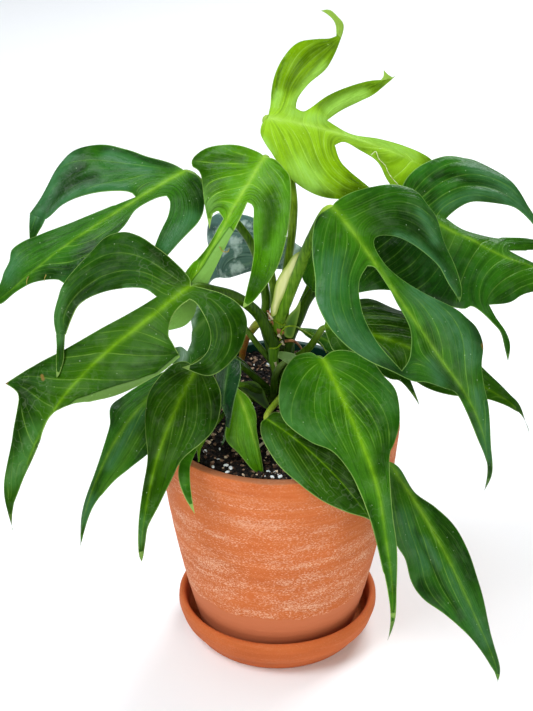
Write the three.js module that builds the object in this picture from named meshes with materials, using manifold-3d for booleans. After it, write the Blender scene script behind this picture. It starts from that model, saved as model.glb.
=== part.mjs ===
// A lobed aroid house plant in a terracotta pot: saucer, pot, plastic grow pot, potting mix,
// stem, leaf sheath and twenty leaves, each leaf with its stalk.
// Millimetres, +Z up. +X is to the viewer's right and +Y is away from the viewer.
// The origin is the centre of the saucer's underside.
import * as THREE from 'three';
import Module from 'manifold-3d';
import { mergeVertices } from 'three/addons/utils/BufferGeometryUtils.js';

const wasm = await Module();
wasm.setup();

// Driving dimensions
const seatGap = 0.3;          // clearance between pieces that rest on each other
const ringSides = 48;         // facets round the pots and the saucer

const saucerHeight = 28;
const saucerLipRadius = 68;
const saucerFootRadius = 58;
const saucerFloor = 5;
const saucerInside = [         // [in from the lip, height], from the lip down to the floor
  [4.8, 26], [6.5, 12], [10, 6], [13, 5],
];
const saucerOutside = [        // the same, from the foot up to the lip
  [4.6, 10], [2.4, 12], [-0.4, 21], [0, 26],
];
const lipRound = 2.4;         // how far in from its edge the saucer's lip is rounded

const potHeight = 157;        // foot to rim
const potRimRadius = 80;
const potFootRadius = 53;
const potBelly = 4;           // how far the wall bulges past a straight cone
const potWall = 6;
const potFloor = 9;
const drainRadius = 7;
const edgeChamfer = 2;        // on the feet of pot and saucer
const rimChamfer = 1.5;
const wallHeights = [4, 24, 50, 80, 112, 142];

const growPotHeight = 112;
const growPotRimRadius = 69;
const growPotFootRadius = 42.6;
const growPotWall = 1.6;
const growPotRim = 6;         // height of the rolled rim
const growPotRimWidth = 2.5;
const growPotTilt = 12;       // degrees, leaning towards the viewer
const growPotRimCentre = [0, -3, 173];
const growPotHoles = 4;
const growPotHoleRadius = 4;
const growPotHoleRing = 32;

const soilBelowRim = 5.5;
const soilDome = 1.5;
const soilLumps = 1.1;        // height of the lumps in the potting mix
const soilFacetRoom = 0.3;    // the pot's facets lie this far inside its true circle
const soilSides = 36;
const soilRings = [1, 0.8, 0.6, 0.4, 0.2, 0];

const stemRadius = 5.5;
const stemSides = 10;
const stemPath = [[-2, 6, 120], [-2, 6, 165], [-1, 6, 200], [0, 6, 230]];
const stemRings = [178, 196, 213, 228];   // heights of the leaf scars round the stem
const stemRingWidth = 2;
const stemRingRise = 0.6;
const stemRingRound = 0.4;

const bladeThickness = 0.9;
const bladeWave = 1.8;        // height of the waves near a blade's edge
const bladeWaveLength = 62;
const bladeWaveReach = 40;    // distance from the midrib at which the waves are full
const outlineStep = 13;       // longest straight edge along an outline
const innerStep = 16;         // spacing of the vertices inside an outline
const innerMargin = 6.4;      // their least distance from it
const midribSteps = 24;
const cornerAngle = 62;       // degrees; an outline turns sharply here, at tips and notches
const stalkSides = 7;
const stalkSink = 7;          // how far the stalk runs on under its blade
const stalkDrop = 0.7;        // how far its centre lies below the blade there, in its radii

// Each leaf is a flat outline laid on a bent surface. Outline points are [along the midrib,
// across it to the left], from the top of the stalk round to it again. The midrib leaves `base`
// towards `heading` (degrees from +X towards +Y), climbing by `rise`; over its `length` it droops
// by `sag` and turns by `swing`. The blade is turned about it by `roll`. Its halves lift by
// `fold` beside the midrib and bow down again by `bow` degrees a millimetre.
const leaves = {
  leaf_upper_left: {
    colour: '#3f7436',
    base: [-58, 15, 330], heading: -175, rise: -20, roll: -39, length: 157,
    sag: 30, swing: 0, fold: 10, bow: 0.35,
    stalkRadius: 2.8,
    stalk: [[-3, 8, 206], [-9, 14, 224], [-8, 18, 241], [-17, 20, 278], [-32, 19, 300], [-46, 17, 318]],
    outline: [
      [0, 0], [6, -8], [19, -20], [30, -32], [41, -42], [56, -47], [70, -45], [83, -37], [95, -29],
      [104, -20], [91, -21], [79, -20], [67, -17], [52, -11], [38, -3], [35, 2], [57, -1], [78, -5],
      [98, -11], [113, -15], [124, -14], [138, -8], [156, -2], [148, 5], [133, 8], [119, 13],
      [101, 22], [76, 26], [50, 18], [37, 11], [23, 10], [16, 12], [15, 18], [19, 26], [25, 32],
      [42, 46], [33, 51], [15, 45], [1, 37], [-6, 25], [-8, 15], [-6, 5],
    ],
  },
  leaf_left: {
    colour: '#3d7030',
    base: [-53, -49, 282], heading: -152, rise: -33, roll: -31, length: 186,
    sag: 30, swing: 0, fold: 10, bow: 0.35,
    stalkRadius: 3.4,
    stalk: [[-1, 5, 212], [-7, -1, 222], [-9, -3, 238], [-18, -12, 252], [-38, -32, 270]],
    outline: [
      [0, 0], [-3, -5], [-3, -20], [-1, -35], [2, -48], [7, -58], [16, -65], [29, -65], [40, -64],
      [50, -62], [59, -57], [68, -51], [78, -37], [69, -40], [53, -43], [42, -39], [30, -30],
      [21, -19], [19, -10], [31, -13], [49, -19], [77, -31], [95, -42], [115, -51], [115, -40],
      [123, -34], [136, -29], [154, -22], [170, -14], [186, 0], [176, -5], [160, -7], [132, -10],
      [114, -13], [101, -7], [90, 4], [76, 16], [54, 26], [35, 29], [32, 19], [30, 13], [22, 7],
      [14, 5], [6, 6], [5, 12], [8, 25], [13, 34], [20, 39], [29, 39], [39, 34], [32, 49], [21, 54],
      [7, 53], [-4, 47], [-11, 39], [-13, 29], [-10, 17], [-6, 9], [-2, 2],
    ],
  },
  leaf_middle: {
    colour: '#5c9a31',
    base: [-9, -5, 347], heading: -157, rise: -43, roll: -40, length: 122,
    sag: 30, swing: 0, fold: 10, bow: 0.4,
    stalkRadius: 2.6,
    stalk: [[-1, 7, 216], [-5, 11, 235], [-6, 11, 262], [-6, 10, 300], [-8, 2, 330]],
    outline: [
      [0, 0], [0, -4], [4, -15], [10, -24], [19, -33], [27, -36], [31, -33], [32, -25], [46, -10],
      [55, -1], [46, -4], [43, -2], [45, 3], [65, 3], [85, -2], [105, -3], [121, -1], [108, 8],
      [86, 15], [68, 15], [44, 13], [28, 10], [28, 15], [37, 22], [51, 31], [70, 38], [88, 42],
      [78, 47], [57, 49], [36, 45], [17, 37], [0, 23], [-3, 13], [-3, 5],
    ],
  },
  leaf_new_top: {
    colour: '#8cb53a',
    base: [-7, 30, 359], heading: 9, rise: -12, roll: 58, length: 122,
    sag: 20, swing: 0, fold: 10, bow: 0.2,
    stalkRadius: 2.8,
    stalk: [[1, 8, 219], [4, 16, 232], [4, 22, 246], [9, 25, 289], [9, 27, 309], [2, 29, 340]],
    outline: [
      [0, 0], [1, 7], [1, 23], [5, 38], [12, 49], [22, 54], [30, 57], [34, 60], [32, 67], [28, 71],
      [23, 73], [28, 75], [33, 72], [37, 68], [37, 60], [35, 49], [31, 37], [22, 25], [17, 15],
      [17, 9], [22, 8], [27, 12], [35, 21], [46, 30], [58, 38], [67, 42], [72, 46], [64, 32], [55, 23],
      [45, 14], [38, 6], [55, 2], [74, 5], [93, 7], [111, 7], [123, 0], [110, -16], [97, -23],
      [86, -18], [76, -9], [63, -6], [52, -4], [46, -8], [54, -19], [76, -28], [66, -37], [54, -42],
      [37, -42], [17, -34], [4, -22], [-3, -12], [-3, -4],
    ],
  },
  leaf_right: {
    colour: '#33692f',
    base: [32, -20, 321], heading: -35, rise: -35, roll: 28, length: 199,
    sag: 35, swing: -10, fold: 10, bow: 0.35,
    stalkRadius: 3.6,
    stalk: [[0, 6, 228], [3, 4, 246], [11, 0, 268], [21, -8, 294]],
    outline: [
      [0, 0], [-1, 5], [1, 16], [7, 29], [14, 40], [23, 48], [33, 49], [42, 49], [56, 43], [73, 38],
      [84, 34], [89, 29], [76, 29], [65, 30], [53, 27], [43, 22], [35, 16], [31, 9], [33, 5], [39, 3],
      [50, 3], [63, 7], [76, 14], [90, 24], [97, 28], [106, 32], [116, 31], [126, 24], [138, 20],
      [151, 18], [172, 12], [189, 8], [199, 0], [183, 6], [165, 5], [148, 4], [135, 2], [128, -5],
      [121, -13], [117, -20], [107, -28], [92, -39], [75, -47], [59, -50], [42, -47], [30, -39],
      [16, -31], [5, -21], [-1, -11],
    ],
    hole: [
      [42, -7], [46, -16], [54, -23], [66, -28], [81, -29], [95, -27], [108, -23], [103, -15],
      [91, -7], [81, -5], [70, -5], [56, -4], [46, -4],
    ],
  },
  leaf_upper_right: {
    colour: '#356b31',
    base: [76, 15, 308], heading: 2, rise: -14, roll: 40, length: 140,
    sag: 25, swing: 0, fold: 10, bow: 0.35,
    stalkRadius: 3.2,
    stalk: [[0, 7, 204], [8, 12, 216], [17, 14, 236], [24, 16, 250], [50, 17, 282]],
    outline: [
      [0, 0], [0, 13], [5, 24], [13, 33], [24, 41], [35, 45], [44, 47], [59, 44], [73, 36], [84, 27],
      [97, 15], [86, 19], [74, 23], [61, 21], [46, 16], [38, 9], [31, -1], [43, -5], [61, -3], [75, 3],
      [90, 9], [112, 13], [92, 2], [77, -6], [94, -6], [139, -1], [99, -27], [87, -40], [72, -49],
      [80, -54], [90, -59], [98, -66], [101, -76], [89, -63], [80, -59], [61, -55], [53, -59],
      [29, -60], [-2, -61], [-20, -66], [-23, -47], [-19, -28], [-9, -11],
    ],
  },
  leaf_behind_right: {
    colour: '#326428',
    base: [29, -5, 233], heading: -11, rise: -9, roll: 31, length: 151,
    sag: 35, swing: 0, fold: 8, bow: 0.4,
    stalkRadius: 2.4,
    stalk: [[0, 6, 196], [10, 4, 204], [19, 1, 213], [25, -2, 224]],
    outline: [
      [0, 0], [1, 10], [9, 19], [17, 26], [25, 29], [38, 29], [61, 29], [105, 19], [125, 15],
      [136, 13], [151, 2], [137, 8], [114, 1], [91, -12], [75, -16], [62, -15], [76, -30], [59, -21],
      [48, -22], [18, -16], [10, -16], [4, -8],
    ],
  },
  leaf_heart_front: {
    colour: '#457c2b',
    base: [27, -42, 229], heading: -56, rise: -41, roll: 18, length: 188,
    sag: 45, swing: -10, fold: 8, bow: 0.4,
    stalkRadius: 2.6,
    stalk: [[-1, 5, 188], [5, -7, 200], [14, -24, 214]],
    outline: [
      [0, 0], [-2, 7], [1, 16], [11, 27], [24, 31], [35, 35], [51, 31], [63, 23], [69, 18], [83, 14],
      [104, 11], [125, 10], [151, 7], [171, 5], [187, 0], [169, 2], [150, 1], [129, -1], [104, -3],
      [86, -6], [72, -9], [57, -16], [47, -27], [33, -36], [22, -38], [9, -34], [-2, -26], [-8, -15],
      [-7, -5], [-3, -2],
    ],
  },
  leaf_under_heart: {
    colour: '#3d7426',
    base: [-8, -55, 194], heading: -30, rise: -19, roll: 36, length: 104,
    sag: 35, swing: 0, fold: 8, bow: 0.4,
    stalkRadius: 2,
    stalk: [[0, 4, 173], [3, -8, 184], [2, -32, 197]],
    outline: [
      [0, 0], [-1, -4], [6, -12], [23, -19], [40, -20], [61, -17], [78, -9], [91, 0], [104, 1],
      [88, 11], [51, 18], [24, 13], [5, 8], [1, 5],
    ],
  },
  leaf_low_right: {
    colour: '#3c7638',
    base: [69, -50, 160], heading: -33, rise: -48, roll: 29, length: 165,
    sag: 20, swing: 0, fold: 8, bow: 0.4,
    stalkRadius: 2.2,
    stalk: [[0, 6, 177], [8, 2, 183], [20, -8, 190], [46, -30, 194], [62, -44, 182]],
    outline: [
      [0, 0], [8, 4], [26, 4], [42, 11], [58, 16], [77, 16], [102, 13], [132, 7], [156, 5], [165, 0],
      [154, 0], [127, -7], [103, -18], [87, -26], [73, -28], [58, -25], [46, -25], [24, -20], [8, -10],
    ],
  },
  leaf_heart_left: {
    colour: '#3b6f2a',
    base: [-51, -42, 222], heading: -121, rise: -40, roll: -16, length: 127,
    sag: 35, swing: 0, fold: 8, bow: 0.4,
    stalkRadius: 2.4,
    stalk: [[-2, 6, 180], [-12, 0, 194], [-25, -15, 210], [-40, -30, 222]],
    outline: [
      [0, 0], [-3, 6], [2, 14], [10, 21], [22, 25], [33, 25], [44, 20], [57, 12], [72, 9], [89, 5],
      [103, 1], [113, 1], [127, 1], [121, -2], [103, -5], [83, -7], [63, -9], [48, -15], [38, -19],
      [25, -22], [14, -20], [3, -15], [-2, -8],
    ],
  },
  leaf_low_left: {
    colour: '#427a2e',
    base: [-56, -25, 215], heading: -147, rise: -35, roll: -24, length: 138,
    sag: 35, swing: 0, fold: 8, bow: 0.4,
    stalkRadius: 2.2,
    stalk: [[-2, 6, 188], [-14, -2, 203], [-36, -14, 219]],
    outline: [
      [0, 1], [9, -8], [19, -13], [38, -21], [50, -25], [61, -18], [74, -14], [90, -11], [110, -9],
      [124, -6], [138, -1], [127, -2], [109, -2], [90, 3], [74, 10], [58, 16], [33, 23], [12, 17],
    ],
  },
  leaf_small_folded: {
    colour: '#356a35',
    base: [-30, -35, 227], heading: -108, rise: -56, roll: -10, length: 58,
    sag: 25, swing: 0, fold: 30, bow: 0.4,
    stalkRadius: 1.8,
    stalk: [[-1, 4, 184], [-9, -9, 198], [-22, -26, 219]],
    outline: [
      [0.1, -0.2], [8.6, -6.8], [25.4, -3.6], [40.1, 1.6], [58.2, -0.1], [46.9, 5.4], [27.1, 7],
      [12, 9], [1.8, 7],
    ],
  },
  leaf_small_light: {
    colour: '#5a9440',
    base: [-27, -38, 207], heading: -56, rise: -46, roll: 21, length: 57,
    sag: 25, swing: 0, fold: 10, bow: 0.4,
    stalkRadius: 2,
    stalk: [[-3, 5, 179], [-8, -4, 184], [-15, -17, 193], [-22, -30, 204]],
    outline: [
      [0.4, 0.2], [9, 4.8], [20.5, 5.9], [31.8, 2.9], [57.8, 0.6], [53.5, -5.3], [41.9, -11.3],
      [30.3, -16.7], [18.4, -12.2], [5.9, -5.5],
    ],
  },
  leaf_over_rim: {
    colour: '#4f8a35',
    base: [-49, -60, 178], heading: -93, rise: -34, roll: -2, length: 44,
    sag: 35, swing: 0, fold: 20, bow: 0.4,
    stalkRadius: 1.7,
    stalk: [[-3, 6, 172], [-14, -6, 180], [-32, -38, 190]],
    outline: [
      [-0.3, -0.5], [10.7, -3.8], [17, -4.7], [27.9, -4.2], [43.7, -0.6], [33.3, -7.9], [22.9, -12],
      [14, -11.8], [5, -7.9],
    ],
  },
  leaf_back: {
    colour: '#5b7468',
    base: [18, 45, 263], heading: 159, rise: -16, roll: -50, length: 81,
    sag: 25, swing: 0, fold: 8, bow: 0.4,
    stalkRadius: 2.2,
    stalk: [[-1, 9, 182], [-3, 20, 202], [6, 34, 234]],
    outline: [
      [0, 0], [7, -5], [18, -15], [36, -31], [46, -38], [60, -46], [69, -43], [72, -31], [73, -14],
      [82, 0], [74, -2], [61, 3], [45, 5], [31, 7], [16, 11], [4, 8],
    ],
  },
  leaf_curled: {
    colour: '#6d8f5f',
    base: [-46, 3, 234], heading: -165, rise: -43, roll: -44, length: 40,
    sag: 20, swing: 0, fold: 8, bow: 0.4,
    stalkRadius: 1.8,
    stalk: [[-2, 7, 198], [-12, 9, 210], [-28, 9, 230]],
    outline: [
      [1.6, -8.1], [-0.1, 1.7], [3, 13.4], [14.1, 21.3], [27.7, 18.4], [37.3, 10.2], [39.1, 0.5],
      [29.9, -4.2], [21.4, 0.9], [17.7, 7.4], [10.1, 2.3], [6.9, -5.5],
    ],
  },
  leaf_back_right: {
    colour: '#477a33',
    base: [27, 8, 279], heading: 142, rise: -68, roll: -94, length: 33,
    sag: 20, swing: 0, fold: 10, bow: 0.5,
    stalkRadius: 2,
    stalk: [[1, 9, 188], [6, 20, 208], [14, 26, 230], [23, 25, 254]],
    outline: [
      [-0.7, 0.1], [3.7, -5.7], [12.1, -9], [19.6, -10.2], [26.6, -7], [32.2, 0.6], [25.5, 10.8],
      [10.6, 15.2], [-2, 10.1],
    ],
  },
  leaf_near_back_rim: {
    colour: '#2e5a34',
    base: [13, 38, 209], heading: 3, rise: -21, roll: 41, length: 40,
    sag: 20, swing: 0, fold: 15, bow: 0.4,
    stalkRadius: 1.6,
    stalk: [[8, 30, 150], [9, 32, 180]],
    outline: [
      [-0.4, 0], [8, 3], [18.5, 4.7], [29.2, 3.6], [39.9, 0.1], [27.9, -7.3], [19.2, -5.4],
      [9.5, -2.6],
    ],
  },
  leaf_bud: {
    colour: '#7d9a6a',
    base: [3, -8, 209], heading: -18, rise: 20, roll: 47, length: 13,
    sag: 20, swing: 0, fold: 15, bow: 0.4,
    stalkRadius: 1.5,
    stalk: [[-1, 4, 197], [-2, -4, 203]],
    outline: [
      [-0.1, -0], [-4.5, 3.3], [-3.3, 7], [1.4, 6.2], [7.4, 3.9], [12.9, -0.2], [6.8, -3.6],
    ],
  },
};

// The pale sheath that clasps the foot of the right leaf's stalk
const sheath = {
  colour: '#c9d38a',
  base: [-4.8, 4.1, 232.5], heading: -30, rise: 68, roll: 55, length: 52,
  sag: 0, swing: 0, fold: 0, bow: 9,
  outline: [[0, 0], [0, -4], [8, -5.5], [20, -5.5], [36, -4], [46, -2], [52, 0], [46, 2], [36, 4],
    [20, 5.5], [8, 5.5], [0, 4]],
};

const radians = THREE.MathUtils.degToRad;

// Solids

function toSolid(geometry) {
  const bare = geometry.clone();
  bare.deleteAttribute('normal');
  bare.deleteAttribute('uv');
  const merged = mergeVertices(bare, 1e-4);
  const corners = [];
  for (let i = 0; i < merged.index.count; i += 3) {
    const [a, b, c] = [0, 1, 2].map((k) => merged.index.getX(i + k));
    if (a !== b && b !== c && c !== a) corners.push(a, b, c);
  }
  return new wasm.Manifold(new wasm.Mesh({
    numProp: 3,
    vertProperties: new Float32Array(merged.attributes.position.array),
    triVerts: new Uint32Array(corners),
  }));
}

function toGeometry(solid) {
  const mesh = solid.getMesh();
  const geometry = new THREE.BufferGeometry();
  geometry.setAttribute('position', new THREE.BufferAttribute(mesh.vertProperties, 3));
  geometry.setIndex(new THREE.BufferAttribute(mesh.triVerts, 1));
  return geometry;
}

function largestBody(solid) {
  return solid.decompose().reduce((best, body) => (body.volume() > best.volume() ? body : best));
}

function turned(profile, sides = ringSides) {
  const points = profile.map(([radius, height]) => new THREE.Vector2(radius, height));
  return new THREE.LatheGeometry(points, sides).rotateX(Math.PI / 2);
}

function tube(path, radius, sides) {
  const section = [];
  for (let i = 0; i < sides; i += 1) {
    const angle = (2 * Math.PI * i) / sides;
    section.push(new THREE.Vector2(radius * Math.cos(angle), radius * Math.sin(angle)));
  }
  const curve = new THREE.CatmullRomCurve3(path.map((point) => new THREE.Vector3(...point)));
  return new THREE.ExtrudeGeometry(new THREE.Shape(section), {
    extrudePath: curve,
    steps: 2 * (path.length - 1),
    bevelEnabled: false,
  });
}

// Blades

function midribFrame(leaf, along) {
  const direction = (s) => {
    const share = THREE.MathUtils.clamp(s / leaf.length, 0, 1);
    const climb = radians(leaf.rise - leaf.sag * share);
    const turn = radians(leaf.heading + leaf.swing * share);
    return {
      turn,
      vector: new THREE.Vector3(
        Math.cos(climb) * Math.cos(turn), Math.cos(climb) * Math.sin(turn), Math.sin(climb)),
    };
  };
  const point = new THREE.Vector3(...leaf.base);
  const step = along / midribSteps;
  for (let i = 0; i < midribSteps; i += 1) {
    point.addScaledVector(direction((i + 0.5) * step).vector, step);
  }
  const { turn, vector } = direction(along);
  const across = new THREE.Vector3(-Math.sin(turn), Math.cos(turn), 0);
  const up = vector.clone().cross(across);
  across.applyAxisAngle(vector, radians(leaf.roll));
  up.applyAxisAngle(vector, radians(leaf.roll));
  return { point, vector, across, up };
}

function bladePoint(leaf, along, aside, offset) {
  const { point, across, up } = midribFrame(leaf, along);
  const fold = radians(leaf.fold);
  const bow = radians(leaf.bow);
  const reach = Math.abs(aside);
  const side = Math.sign(aside);
  const slope = fold - bow * reach;
  const out = (Math.sin(fold) - Math.sin(slope)) / bow;
  const lift = (Math.cos(slope) - Math.cos(fold)) / bow;
  const phase = side > 0 ? 0 : 2;
  const wave = bladeWave * Math.min(reach / bladeWaveReach, 1) ** 2
    * Math.sin((2 * Math.PI * along) / bladeWaveLength + phase);
  return point
    .addScaledVector(across, side * (out - offset * Math.sin(slope)))
    .addScaledVector(up, lift + wave + offset * Math.cos(slope));
}

// An outline is a smooth curve between its corners, which are its sharp tips and notches.
function smoothOutline(points) {
  const flat = points.map(([s, t]) => new THREE.Vector2(s, t));
  const count = flat.length;
  const turnAt = (i) => {
    const before = flat[i].clone().sub(flat[(i + count - 1) % count]);
    const after = flat[(i + 1) % count].clone().sub(flat[i]);
    return Math.abs(Math.atan2(before.cross(after), before.dot(after)));
  };
  const corners = flat.map((_, i) => i).filter((i) => i === 0 || turnAt(i) > radians(cornerAngle));
  const outline = [];
  corners.forEach((start, n) => {
    const end = n + 1 < corners.length ? corners[n + 1] : count;
    const run = [];
    for (let i = start; i <= end; i += 1) run.push(flat[i % count]);
    const curve = new THREE.SplineCurve(run);
    for (let i = 0; i < end - start; i += 1) {
      const parts = Math.ceil(run[i].distanceTo(run[i + 1]) / outlineStep);
      for (let k = 0; k < parts; k += 1) outline.push(curve.getPoint((i + k / parts) / (end - start)));
    }
  });
  return outline;
}

function isInside(point, loop) {
  let inside = false;
  loop.forEach((a, i) => {
    const b = loop[(i + 1) % loop.length];
    const crosses = (a.y > point.y) !== (b.y > point.y);
    if (crosses && point.x < a.x + ((b.x - a.x) * (point.y - a.y)) / (b.y - a.y)) inside = !inside;
  });
  return inside;
}

function distanceToLoop(point, loop) {
  let nearest = Infinity;
  loop.forEach((a, i) => {
    const edge = loop[(i + 1) % loop.length].clone().sub(a);
    const offset = point.clone().sub(a);
    const share = THREE.MathUtils.clamp(offset.dot(edge) / edge.lengthSq(), 0, 1);
    nearest = Math.min(nearest, offset.addScaledVector(edge, -share).length());
  });
  return nearest;
}

function innerPoints(outline, holes) {
  const box = new THREE.Box2().setFromPoints(outline);
  const rowStep = (innerStep * Math.sqrt(3)) / 2;
  const found = [];
  for (let row = 0; box.min.y + row * rowStep < box.max.y; row += 1) {
    for (let s = box.min.x + (row % 2) * (innerStep / 2); s < box.max.x; s += innerStep) {
      const point = new THREE.Vector2(s, box.min.y + row * rowStep);
      const free = isInside(point, outline) && !holes.some((hole) => isInside(point, hole))
        && [outline, ...holes].every((loop) => distanceToLoop(point, loop) > innerMargin);
      if (free) found.push(point);
    }
  }
  return found;
}

// Inner edges are flipped until no triangle is needlessly thin.
function flipThinTriangles(points, triangles) {
  const angleAt = (corner, a, b) => {
    const toA = points[a].clone().sub(points[corner]);
    const toB = points[b].clone().sub(points[corner]);
    return Math.abs(Math.atan2(toA.cross(toB), toA.dot(toB)));
  };
  let flips = 1;
  while (flips > 0) {
    flips = 0;
    const owners = new Map();
    triangles.forEach((triangle, index) => {
      triangle.forEach((a, k) => {
        const b = triangle[(k + 1) % 3];
        const name = a < b ? `${a} ${b}` : `${b} ${a}`;
        const far = triangle[(k + 2) % 3];
        if (!owners.has(name)) owners.set(name, []);
        owners.get(name).push({ index, a, b, far });
      });
    });
    const touched = new Set();
    for (const [first, second] of owners.values()) {
      if (!second || touched.has(first.index) || touched.has(second.index)) continue;
      const { a, b, far } = first;
      if (angleAt(far, a, b) + angleAt(second.far, a, b) > Math.PI + 1e-6) {
        triangles[first.index] = [far, a, second.far];
        triangles[second.index] = [far, second.far, b];
        touched.add(first.index).add(second.index);
        flips += 1;
      }
    }
  }
}

function blade(leaf) {
  const outline = smoothOutline(leaf.outline);
  const holes = leaf.hole ? [smoothOutline(leaf.hole)] : [];
  const inner = innerPoints(outline, holes);
  const points = [outline, ...holes, inner].flat();
  const loops = [...holes, ...inner.map((point) => [point])];
  const triangles = THREE.ShapeUtils.triangulateShape(outline, loops).map(([a, b, c]) => {
    const turn = points[b].clone().sub(points[a]).cross(points[c].clone().sub(points[a]));
    return turn > 0 ? [a, b, c] : [a, c, b];
  });
  flipThinTriangles(points, triangles);

  const faces = [];
  const under = points.length;
  const edges = new Set(triangles.flatMap(([a, b, c]) => [`${a} ${b}`, `${b} ${c}`, `${c} ${a}`]));
  for (const [a, b, c] of triangles) {
    faces.push(a, b, c, under + a, under + c, under + b);
    for (const [from, to] of [[a, b], [b, c], [c, a]]) {
      if (!edges.has(`${to} ${from}`)) {
        faces.push(from, under + from, under + to, from, under + to, to);
      }
    }
  }
  const place = (offset) => points.flatMap((point) => (
    bladePoint(leaf, point.x, point.y, offset).toArray()));
  const geometry = new THREE.BufferGeometry();
  const corners = [...place(bladeThickness / 2), ...place(-bladeThickness / 2)];
  geometry.setAttribute('position', new THREE.Float32BufferAttribute(corners, 3));
  geometry.setIndex(faces);
  return geometry;
}

function stalk(leaf, extra = 0) {
  const { point, vector, up } = midribFrame(leaf, 0);
  point.addScaledVector(vector, stalkSink);
  point.addScaledVector(up, -leaf.stalkRadius * stalkDrop);
  const path = [...leaf.stalk, leaf.base, point.toArray()];
  return tube(path, leaf.stalkRadius + extra, stalkSides);
}

// Pots

const growPotAxis = new THREE.Group();
growPotAxis.rotation.x = radians(growPotTilt);
growPotAxis.position.set(
  growPotRimCentre[0],
  growPotRimCentre[1] + growPotHeight * Math.sin(radians(growPotTilt)),
  growPotRimCentre[2] - growPotHeight * Math.cos(radians(growPotTilt)),
);
growPotAxis.updateMatrix();

function potRadius(height) {
  const share = height / potHeight;
  return potFootRadius + (potRimRadius - potFootRadius) * share + 4 * potBelly * share * (1 - share);
}

function saucerGeometry() {
  const fromLip = ([inwards, height]) => [saucerLipRadius - inwards, height];
  return turned([
    [0, 0], [saucerFootRadius - edgeChamfer, 0], [saucerFootRadius, edgeChamfer],
    ...saucerOutside.map(fromLip), fromLip([lipRound, saucerHeight]), ...saucerInside.map(fromLip),
    [0, saucerFloor],
  ]);
}

function terracottaGeometry() {
  const outer = wallHeights.map((height) => [potRadius(height), height]);
  const inner = wallHeights.slice(1).map((height) => [potRadius(height) - potWall, height]).reverse();
  return turned([
    [drainRadius, 0], [potFootRadius - edgeChamfer, 0], ...outer,
    [potRimRadius, potHeight - rimChamfer], [potRimRadius - rimChamfer, potHeight],
    [potRimRadius - potWall + rimChamfer, potHeight],
    [potRimRadius - potWall, potHeight - rimChamfer], ...inner,
    [potFootRadius - potWall - edgeChamfer, potFloor], [drainRadius, potFloor], [drainRadius, 0],
  ]);
}

function growPotInside(height) {
  const widening = growPotRimRadius - growPotRimWidth - growPotFootRadius;
  return growPotFootRadius - growPotWall + (widening * height) / growPotHeight;
}

function growPotGeometry() {
  const brim = growPotHeight - growPotRim;
  const shell = toSolid(turned([
    [0, 0], [growPotFootRadius, 0], [growPotInside(brim) + growPotWall, brim], [growPotRimRadius, brim],
    [growPotRimRadius, growPotHeight], [growPotInside(growPotHeight), growPotHeight],
    [growPotInside(growPotWall), growPotWall], [0, growPotWall],
  ]));
  let pierced = shell;
  for (let i = 0; i < growPotHoles; i += 1) {
    const angle = (2 * Math.PI * i) / growPotHoles;
    const hole = new THREE.CylinderGeometry(growPotHoleRadius, growPotHoleRadius, 4 * growPotWall, 12)
      .rotateX(Math.PI / 2)
      .translate(growPotHoleRing * Math.cos(angle), growPotHoleRing * Math.sin(angle), 0);
    pierced = pierced.subtract(toSolid(hole));
  }
  return toGeometry(pierced);
}

// Stem, potting mix and leaves

function stemSolid(extra) {
  let solid = toSolid(tube(stemPath, stemRadius + extra, stemSides));
  if (extra > 0) {
    const [x, y, z] = stemPath.at(-1);
    const radius = stemRadius + extra;
    const cap = turned([[0, -radius], [radius, -radius], [radius, extra], [0, extra]], stemSides);
    solid = solid.add(toSolid(cap.translate(x, y, z)));
  }
  const curve = new THREE.CatmullRomCurve3(stemPath.map((point) => new THREE.Vector3(...point)));
  const { z: foot } = curve.getPoint(0);
  const { z: top } = curve.getPoint(1);
  for (const height of stemRings) {
    const centre = curve.getPointAt((height - foot) / (top - foot));
    const radius = stemRadius + stemRingRise + extra;
    const half = stemRingWidth / 2 + extra;
    const neck = radius - stemRingRound;
    const ring = turned([[0, -half], [neck, -half], [radius, 0], [neck, half], [0, half]], ringSides / 4);
    solid = solid.add(toSolid(ring.translate(...centre)));
  }
  return solid;
}

function soilGeometry(holes) {
  const top = growPotHeight - soilBelowRim;
  const bed = growPotWall + seatGap;
  const edge = growPotInside(top) - seatGap - soilFacetRoom;
  const foot = growPotInside(bed) - seatGap - soilFacetRoom;
  const geometry = turned([
    [0, bed], [foot, bed],
    ...soilRings.map((share) => [edge * share, top + soilDome * (1 - share ** 2)]),
  ], soilSides);
  const position = geometry.attributes.position;
  for (let i = 0; i < position.count; i += 1) {
    const [x, y, z] = [position.getX(i), position.getY(i), position.getZ(i)];
    const lump = Math.sin(x * 0.31) * Math.sin(y * 0.27 + 1);
    if (z > top - 0.01) position.setZ(i, z + soilLumps * lump);
  }
  geometry.applyMatrix4(growPotAxis.matrix);
  return toGeometry(largestBody(toSolid(geometry).subtract(holes)));
}

function leafGeometry(leaf, clearance) {
  const whole = toSolid(blade(leaf)).add(toSolid(stalk(leaf)));
  return toGeometry(largestBody(whole.subtract(clearance)));
}

// The plant, in its pot, on its saucer

const plant = new THREE.Group();

function addPiece(parent, name, geometry, color, roughness) {
  const material = new THREE.MeshStandardMaterial({ color, roughness, metalness: 0 });
  const mesh = new THREE.Mesh(geometry, material);
  mesh.name = name;
  parent.add(mesh);
  return mesh;
}

addPiece(plant, 'saucer', saucerGeometry(), '#c4703f', 0.85);
addPiece(plant, 'terracotta_pot', terracottaGeometry(), '#cc7848', 0.9).position.z = saucerFloor + seatGap;

plant.add(growPotAxis);
addPiece(growPotAxis, 'grow_pot', growPotGeometry(), '#0e4a48', 0.45);

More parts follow.
